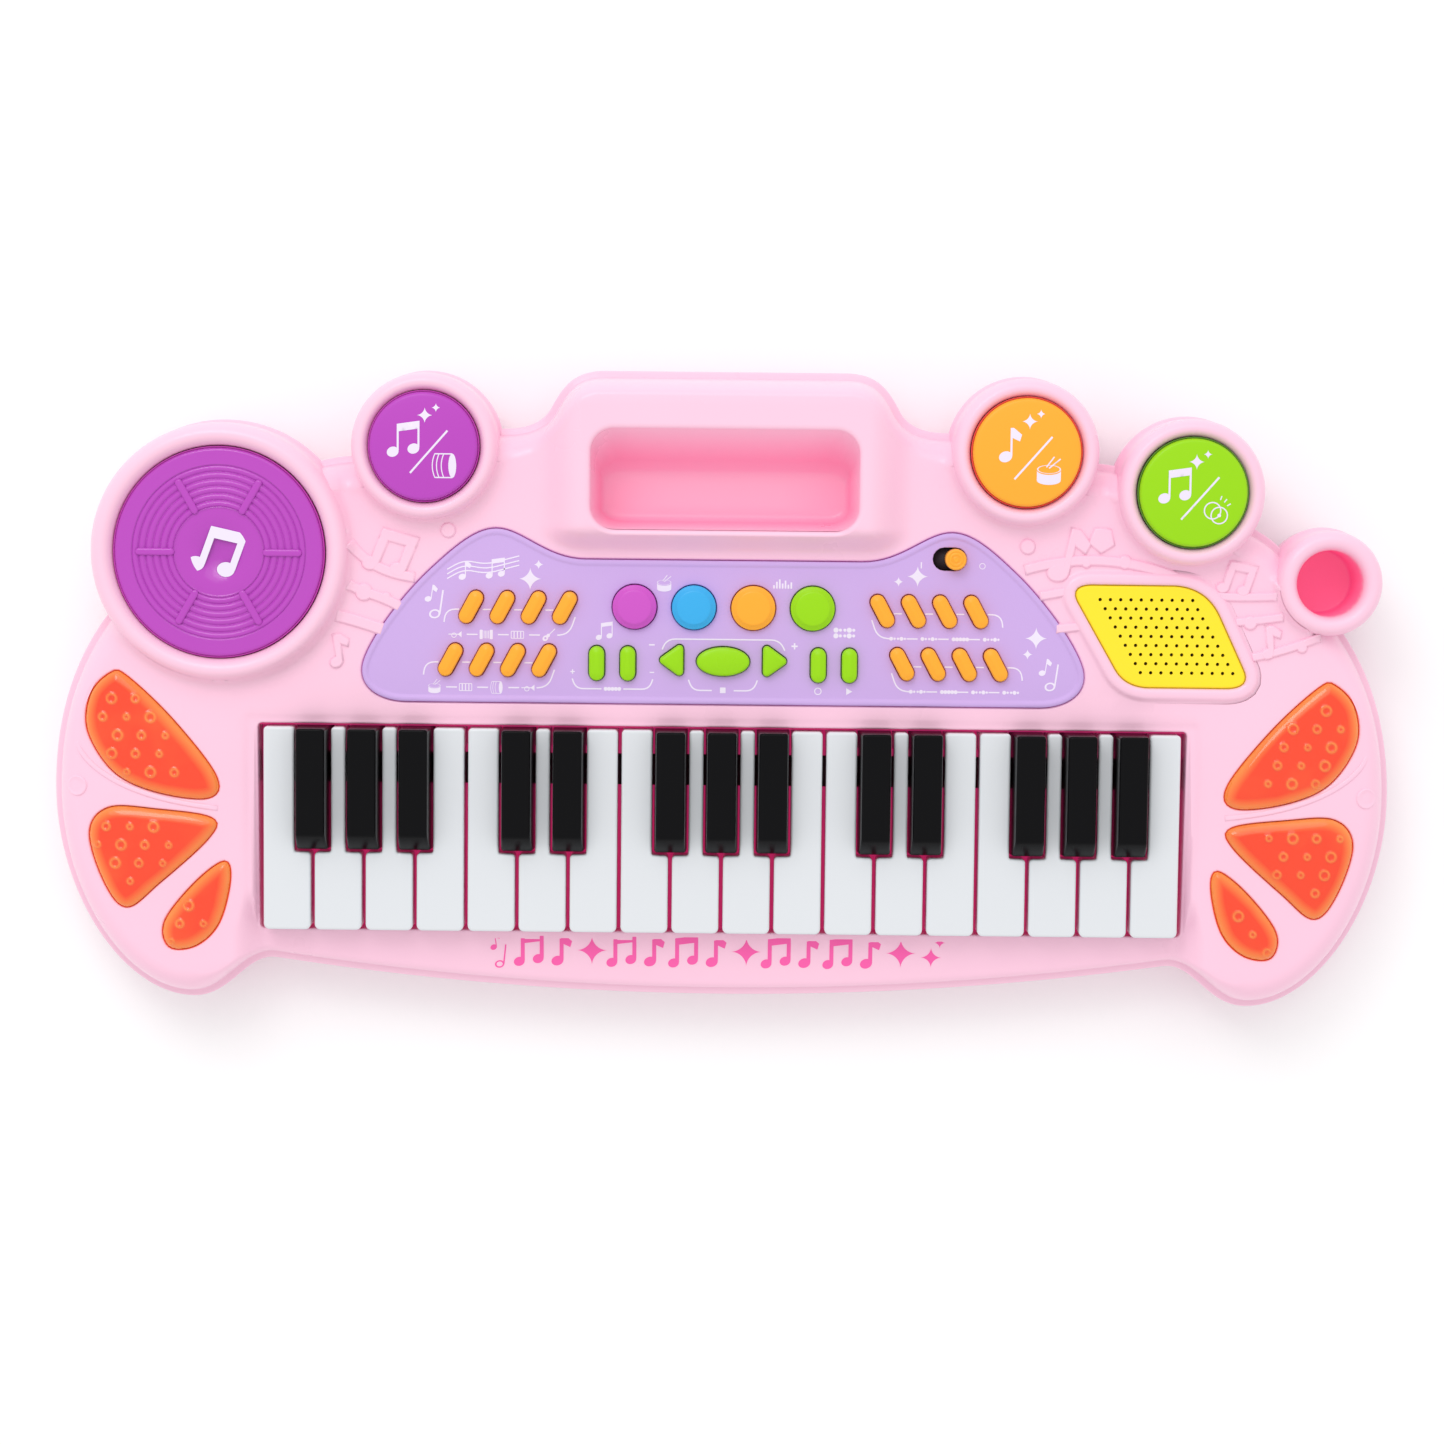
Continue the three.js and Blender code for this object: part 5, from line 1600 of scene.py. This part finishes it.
def build_ornaments():
    """Staves, notes, dots and a pentagon that stand a little above the deck on both sides of the panel."""
    skin = Skin()
    left = [
        stave([(-129.5, 50.5), (-125, 44), (-118, 40), (-107.5, 38.8)]),
        stave([(-130, 36), (-125, 33), (-119, 32.5), (-112.5, 28.6)]),
        stave([(-134, 25.2), (-129, 24), (-124, 22.5), (-118.5, 20.6)], 3.6),
        dot(-124.9, 33.5, 2.8), dot(-117.3, 31.7, 1.6), dot(-95.7, 55.2, 2.3),
        *placed_shapes(double_note(0.2), (-115.2, 47.3), 15.5, -22),
        *placed_shapes(single_note(weight=0.19), (-133.6, 13.2), 11, 8),
    ]
    right = [
        stave([(104.5, 43.6), (118, 47.6), (137, 49.8), (158.5, 40.8)]),
        stave([(110, 34.6), (113, 35), (116, 35.7), (121, 36.6)], 2.6),
        stave([(115.8, 23.2), (118, 23.3), (121, 23.8), (125.5, 24.4)], 2.6),
        stave([(171, 35.3), (177, 34.6), (184, 34.8), (191.5, 35.2)], 2.4),
        stave([(178, 26.2), (183, 26.6), (187, 27), (194, 28)], 2.4),
        stave([(184, 14), (192, 15.4), (199, 18), (207, 21)], 2.4),
        dot(125.6, 46.2, 1.5), dot(139, 46.6, 2.2), dot(105.2, 51.6, 2.4),
        dot(182.9, 26, 2.2), dot(201, 17.6, 1.7),
        [ellipse((130.9, 54.3), 4.6, 4.6, -22, 5)],
        *placed_shapes(single_note(weight=0.13), (119.4, 48.8), 18.5, -12),
        *placed_shapes(double_note(0.2), (178.4, 41.2), 11.5, -18),
        *placed_shapes(single_note(weight=0.19), (190.2, 19.4), 11, 6),
    ]
    add_emboss(skin, left + right, shell_height, sizes().ornament_rise / MM)
    placed(skin.to_object("deck_ornaments", pink(), 0), CASE, "case_pink")


def build_ridges():
    """A curved ridge between the upper two light windows of each side, and a round boss beside it."""
    skin = Skin()
    path = bezier((226.5, -14), (226, -26), (212, -38.5), (176, -42.4), 30)
    ridge = stroke(np.concatenate([path, [[176, -42.4]]]), 1.3)
    boss = circle((225, -35), 3.4, 36)
    rise = sizes().ridge_rise / MM
    add_emboss(skin, [[ridge], [boss]], shell_height, rise, 0.4)
    add_emboss(skin, [[flipped(ridge)], [flipped(boss)]], shell_height, rise, 0.4)
    placed(skin.to_object("window_ridges", pink(), 0), CASE, "case_pink")


def row_bracket(side, first, y):
    """The bracket round a row of slanted caps: links between them, a hook at each end, and a base line."""
    width = 0.5
    step = STRIP["spacing"]
    last = first + 3 * step
    links = [[(first + k * step + 4.0, y - 0.9), (first + (k + 1) * step - 4.0, y - 0.9)] for k in range(3)]
    outer_hook = soft_path([(last + 4.2, y - 0.9), (last + 9, y - 0.9), (last + 9.4, y - 5.4)], 3.6)
    inner_hook = soft_path([(first - 3.6, y - 3.2), (first - 1.5, y - 9.3), (first + 2.6, y - 9.6)], 3.4)
    bases = [[(first + 8.6 + k * step, y - 9.6), (first + 12.4 + k * step, y - 9.6)] for k in range(3)]
    paths = [*links, outer_hook, inner_hook, *bases]
    return [[stroke(np.array(path) * (side, 1), width * side)] for path in paths]


def hook(corners):
    """A thin line through corners, with its bends rounded."""
    return [stroke(soft_path(corners, 2.6), 0.5)]


def strip_marks():
    """What stands round the slanted caps: brackets, instruments on the left and beats on the right."""
    instruments = {"rear": [guitar(), small_keyboard(), squeeze_box(), horn()],
                   "front": [horn(), bass_drum(), small_keyboard(), snare_drum()]}
    shapes = []
    for side in (-1, 1):
        for number, (row, (first, y)) in enumerate(STRIP_ROWS.items()):
            shapes += row_bracket(side, first, y)
            for k in range(4):
                place = (side * (first + 5.6 + k * STRIP["spacing"]), y - 9.6)
                if side < 0:
                    shapes += placed_shapes(instruments[row][k], place, 4.6)
                else:
                    shapes += placed_shapes(rhythm(k + number), place, 5.4)
    return shapes


def corner_marks():
    """What stands in the panel's upper corners and ends: a wavy stave, stars and notes."""
    waves = [[(-96, y), (-90, y + 3.5), (-83, y + 1.7), (-71, y + 4.9)] for y in (38.5, 40.1, 41.7)]
    shapes = [[stroke(soft_path(path, 4), 0.45)] for path in waves]
    shapes += placed_shapes(single_note(), (-90, 41.5), 6.5)
    shapes += placed_shapes(double_note(), (-79, 42.4), 6.8)
    stars = [((-67.2, 38.7), 4.1), ((-64.3, 43.7), 1.8), ((67.2, 40.9), 3.8), ((60.6, 39.0), 1.8),
             ((108.7, 19.8), 4.0), ((105.8, 14.2), 1.9)]
    for place, size in stars:
        shapes += placed_shapes(star(), place, size)
    for place, size, hollow in (((-101.6, 33.4), 6, False), ((-98.6, 29.6), 10, True),
                                ((112, 9.8), 6, False), ((115.4, 6.2), 9.5, True)):
        shapes += placed_shapes(single_note(hollow), place, size, -8)
    return shapes


def middle_marks():
    """What stands round the middle buttons: pictures beside the drums, lines and signs under the others."""
    shapes = placed_shapes(snare_drum(), (-20.7, 37.4), 5.4) + placed_shapes(double_note(), (-41.1, 21), 6)
    for k, height in enumerate((1.2, 2.4, 3.2, 1.8, 2.8, 1.4, 2.2)):
        shapes.append([stroke([(17.4 + k, 36.2), (17.4 + k, 36.2 + height)], 0.6)])
    shapes += placed_shapes(rhythm(1), (42.2, 22), 7) + placed_shapes(rhythm(3), (42.2, 20), 7)
    shapes += placed_shapes([annulus((0, 0), 0.5, 0.14)], (33.1, 0.6), 2.6)
    shapes += placed_shapes(arrowhead(), (43.9, 0.6), 2.4)
    shapes.append(hook([(-52.4, 4.2), (-51.2, 0.7), (-42.2, 0.7)]))
    shapes.append(hook([(-34.6, 0.7), (-25.6, 0.7), (-24.4, 4.2)]))
    shapes += placed_shapes(rhythm(2), (-38.4, 0.7), 5.4)
    shapes.append(hook([(-12, 4.2), (-10.6, 0.5), (-3.8, 0.5)]))
    shapes.append(hook([(3.8, 0.5), (10.6, 0.5), (12, 4.2)]))
    shapes += placed_shapes([[rounded_rectangle(-0.5, 0.5, -0.5, 0.5, 0.1, 3)]], (0, 0.6), 2)
    shapes.append([stroke(soft_path([(-21.2, 14.6), (-19.8, 18.3), (19.8, 18.3), (21.4, 14.6)], 3.2), 0.5)])
    for sign, place, size in ((minus(), (-24.8, 16.2), 2), (plus(), (24.8, 16.2), 2.2),
                              (plus(), (-52.3, 6.6), 1.6), (minus(), (-24.7, 6.6), 1.6)):
        shapes += placed_shapes(sign, place, size)
    shapes += placed_shapes([[stroke([(0, -0.5), (0, 0.5)], 0.2)]], (68.4, 44.8), 2.2)
    shapes += placed_shapes([annulus((0, 0), 0.5, 0.12)], (89.6, 44.7), 2.2)
    return shapes


def build_panel_print():
    """White marks on the panel: brackets, instruments, beats, signs, stars and notes."""
    skin = Skin()
    add_print(skin, strip_marks() + corner_marks() + middle_marks(), flat(PANEL_FACE))
    placed(skin.to_object("panel_print", white_ink(), 0), CASE, "panel_lavender")


def build_apron_print():
    """A row of pink notes and stars along the front of the case."""
    pair, single = double_note(0.13), single_note(weight=0.13)
    glyphs = [pair, single, star(), pair, single]
    shapes = placed_shapes(single_note(), (-79.5, -89.6), 6, 8)
    shapes += placed_shapes(single_note(True), (-76.5, -95), 8.5, -6)
    for k in range(13):
        size = 5.2 if k % 5 == 2 else 10.8
        shapes += placed_shapes(glyphs[k % 5], (-67 + 10.9 * k, -92.6), size)
    shapes += placed_shapes(star(), (74.5, -94), 3.6) + placed_shapes(star(), (77.5, -88.6), 2)
    skin = Skin()
    add_print(skin, shapes, lambda points: trough_height(points[:, 1]))
    ink = plastic("Pink Ink", linear(250, 96, 172), 0.4, flow=0.1, wear=0.0, bump=0.05)
    placed(skin.to_object("apron_print", ink, 0), CASE, "case_pink")


def build_pad_prints():
    """Each drum pad's print: a musical sign and an instrument, with a line between them."""
    signs = [double_note(), single_note(), double_note()]
    drums = [bass_drum(), snare_drum(), cymbals()]
    for node, place, sign, drum in zip(PAD_NAMES, PAD_PLACES, signs, drums):
        shapes = [[stroke([(-4.4, -9.2), (8.4, 5.4)], 0.7)]]
        shapes += placed_shapes(sign, (-6.2, 2.6), 11.5) + placed_shapes(drum, (7.4, -6.6), 9)
        shapes += placed_shapes(star(), (0.6, 10.6), 2.8) + placed_shapes(star(), (4.4, 13.2), 1.6)
        shapes = [[loop + place for loop in shape] for shape in shapes]

        def level(points, place=place):
            return pad_dome(np.linalg.norm(points - place, axis=1))

        skin = Skin()
        add_print(skin, shapes, level, 1.2)
        placed(skin.to_object(node + "_print", white_ink(), 0), node, slot_of(node))


def build_emblem():
    """The turntable's sign: a double note that stands white in the dish."""
    shapes = placed_shapes(double_note(0.14), TURNTABLE + (0, 0.3), 17, -20)
    skin = Skin()
    add_print(skin, shapes, flat(42.5), 0, 0.4)
    placed(skin.to_object("turntable_emblem", white_ink(), 0), "turntable", "cap_purple")


# ---- Stage ----


def build_stage():
    """A pale floor, soft studio light and the camera."""
    floor = bpy.data.meshes.new("floor")
    reach = 6.0
    corners = [(-reach, -reach, 0), (reach, -reach, 0), (reach, reach, 0), (-reach, reach, 0)]
    floor.from_pydata(corners, [], [(0, 1, 2, 3)])
    stage = bpy.data.objects.new("floor", floor)
    bpy.context.scene.collection.objects.link(stage)
    white = bpy.data.materials.new("Studio White")
    white.use_nodes = True
    shader_of(white).inputs["Base Color"].default_value = (0.98, 0.98, 0.98, 1)
    shader_of(white).inputs["Roughness"].default_value = 0.9
    floor.materials.append(white)
    world = bpy.data.worlds.new("Studio")
    world.use_nodes = True
    sky = world.node_tree.nodes["Background"]
    sky.inputs["Color"].default_value = (1, 1, 1, 1)
    sky.inputs["Strength"].default_value = 0.9
    bpy.context.scene.world = world
    add_sun()
    add_softbox()
    bpy.context.scene.view_settings.view_transform = "Standard"
    add_camera()


def add_lamp(name, kind, energy, place, way):
    """A lamp at a place, shining a given way."""
    light = bpy.data.lights.new(name, kind)
    light.energy = energy
    lamp = bpy.data.objects.new(name, light)
    lamp.location = place
    lamp.rotation_euler = Vector(way).to_track_quat("-Z", "Y").to_euler()
    bpy.context.scene.collection.objects.link(lamp)
    return light


def add_sun():
    """A broad light from behind and above."""
    light = add_lamp("sun", "SUN", 0.5, (0, 0, 0), (0.12, -0.95, -1))
    light.angle = math.radians(50)


def add_softbox():
    """A square lamp behind and to the left, aimed at the middle of the keyboard."""
    place = Vector((-0.35, 0.75, 1.0))
    light = add_lamp("softbox", "AREA", 2.2, place, Vector((0, 0, 0.02)) - place)
    light.size = 0.5


def add_camera():
    """Nearly straight above, a little towards the back edge, and turned by half a degree."""
    camera = bpy.data.cameras.new("camera")
    camera.sensor_width = 36.0
    camera.lens = 82.2
    height, lean, turn = 1.145, -4.9, 0.6
    view = bpy.data.objects.new("camera", camera)
    view.location = (-0.001, 0.0875, DECK * MM + height)
    view.rotation_euler = (math.radians(lean), 0, math.radians(turn))
    bpy.context.scene.collection.objects.link(view)
    bpy.context.scene.camera = view


# ---- Add-on ----


def colour_property(title, *channels):
    """A colour that a user can change, its default given as the eye sees it, from 0 to 255."""
    return bpy.props.FloatVectorProperty(name=title, description=f"Colour of the {title.lower()}",
                                         subtype="COLOR", size=3, min=0, max=1, default=linear(*channels))


class KeyboardColours(bpy.types.PropertyGroup):
    """Colours of the plastics."""

    case: colour_property("Case", 251, 201, 223)
    # Painted shade: the deeper pink of the case's hollows, which also lights them faintly.
    hollow: colour_property("Hollow", 240, 92, 150)
    white_key: colour_property("White keys", 222, 225, 229)
    black_key: colour_property("Black keys", 12, 12, 14)
    panel: colour_property("Panel", 203, 170, 228)
    orange: colour_property("Orange caps", 255, 172, 48)
    green: colour_property("Green caps", 152, 216, 0)
    blue: colour_property("Blue cap", 56, 172, 232)
    magenta: colour_property("Magenta cap", 204, 84, 196)
    purple: colour_property("Purple discs", 184, 68, 188)
    yellow: colour_property("Grille", 255, 228, 40)
    lens: colour_property("Lens", 252, 66, 24)
    # Painted glow of the lenses' edges and bubble rings.
    lens_glow: colour_property("Lens glow", 255, 150, 66)


def size_property(title, note, millimetres):
    """A length that may be made down to a fifth and up to twice its default."""
    return bpy.props.FloatProperty(name=title, description=note, default=millimetres * MM, unit="LENGTH",
                                   min=millimetres * MM / 5, max=millimetres * MM * 2)


class KeyboardSizes(bpy.types.PropertyGroup):
    """Sizes a user would change."""

    key_round: size_property("Key edge", "Radius of the white keys' top edges", 0.9)
    ornament_rise: size_property("Ornament rise", "How far the deck's staves and notes stand up", 0.9)
    ridge_rise: size_property("Ridge rise", "How far the ridges between the windows stand up", 0.45)


def operator(identifier, label, note, build):
    """An operator class that runs one builder."""

    def execute(self, context):
        build()
        return {"FINISHED"}

    parts = {"bl_idname": f"keyboard.{identifier}", "bl_label": label, "__doc__": note, "execute": execute}
    return type(f"KEYBOARD_OT_{identifier}", (bpy.types.Operator,), parts)


OPERATORS = [
    operator("case_top", "Case Top", "Deck, edges and openings", build_case_top),
    operator("rings", "Rings", "Turntable ring, pad rings and microphone holder", build_rings),
    operator("pocket", "Pocket", "The handle's finger pocket", build_pocket),
    operator("case_bottom", "Case Bottom", "Bottom shell and feet", build_case_bottom),
    operator("screws", "Screws", "Case screws in their wells", build_screws),
    operator("white_keys", "White Keys", "All white keys", build_white_keys),
    operator("black_keys", "Black Keys", "All black keys", build_black_keys),
    operator("key_bed", "Key Bed", "What shows between the keys", build_key_bed),
    operator("panel", "Panel", "Control panel", build_panel),
    operator("buttons", "Buttons", "Push buttons on the panel", build_buttons),
    operator("switch", "Switch", "Power switch", build_switch),
    operator("pads", "Pads", "Drum pads", build_pads),
    operator("turntable", "Turntable", "Turntable disc", build_turntable),
    operator("grille", "Grille", "Speaker grille", build_grille),
    operator("lenses", "Lenses", "Light windows", build_lenses),
    operator("liners", "Liners", "Shaded collars in the gaps round caps and plates", build_shade_collars),
    operator("inner_parts", "Inner Parts", "Battery door, speaker and board finishes", build_inner_parts),
    operator("ornaments", "Ornaments", "Raised staves and notes", build_ornaments),
    operator("ridges", "Ridges", "Raised ridges between the light windows", build_ridges),
    operator("panel_print", "Panel Print", "White marks on the panel", build_panel_print),
    operator("apron_print", "Apron Print", "Pink marks along the front", build_apron_print),
    operator("pad_prints", "Pad Prints", "White marks on the drum pads", build_pad_prints),
    operator("emblem", "Emblem", "Sign in the middle of the turntable", build_emblem),
    operator("stage", "Stage", "Floor, light and camera", build_stage),
]


class KEYBOARD_PT_panel(bpy.types.Panel):
    """Lists the keyboard's pieces in the sidebar."""

    bl_label = "Toy Keyboard"
    bl_idname = "KEYBOARD_PT_panel"
    bl_space_type = "VIEW_3D"
    bl_region_type = "UI"
    bl_category = "Keyboard"

    def draw(self, context):
        for kind in OPERATORS:
            self.layout.operator(kind.bl_idname)


CLASSES = [KeyboardColours, KeyboardSizes, *OPERATORS, KEYBOARD_PT_panel]


def register():
    """Makes the classes and the scene's settings known to Blender."""
    for kind in CLASSES:
        bpy.utils.register_class(kind)
    bpy.types.Scene.keyboard_colours = bpy.props.PointerProperty(type=KeyboardColours)
    bpy.types.Scene.keyboard_sizes = bpy.props.PointerProperty(type=KeyboardSizes)


def unregister():
    """Takes the settings and classes away again."""
    del bpy.types.Scene.keyboard_colours
    del bpy.types.Scene.keyboard_sizes
    for kind in reversed(CLASSES):
        bpy.utils.unregister_class(kind)


def main():
    """Builds every piece in order, and notes the CAD box and the visual box."""
    register()
    for kind in OPERATORS:
        getattr(bpy.ops.keyboard, kind.bl_idname.split(".")[1])()


if __name__ == "__main__":
    main()
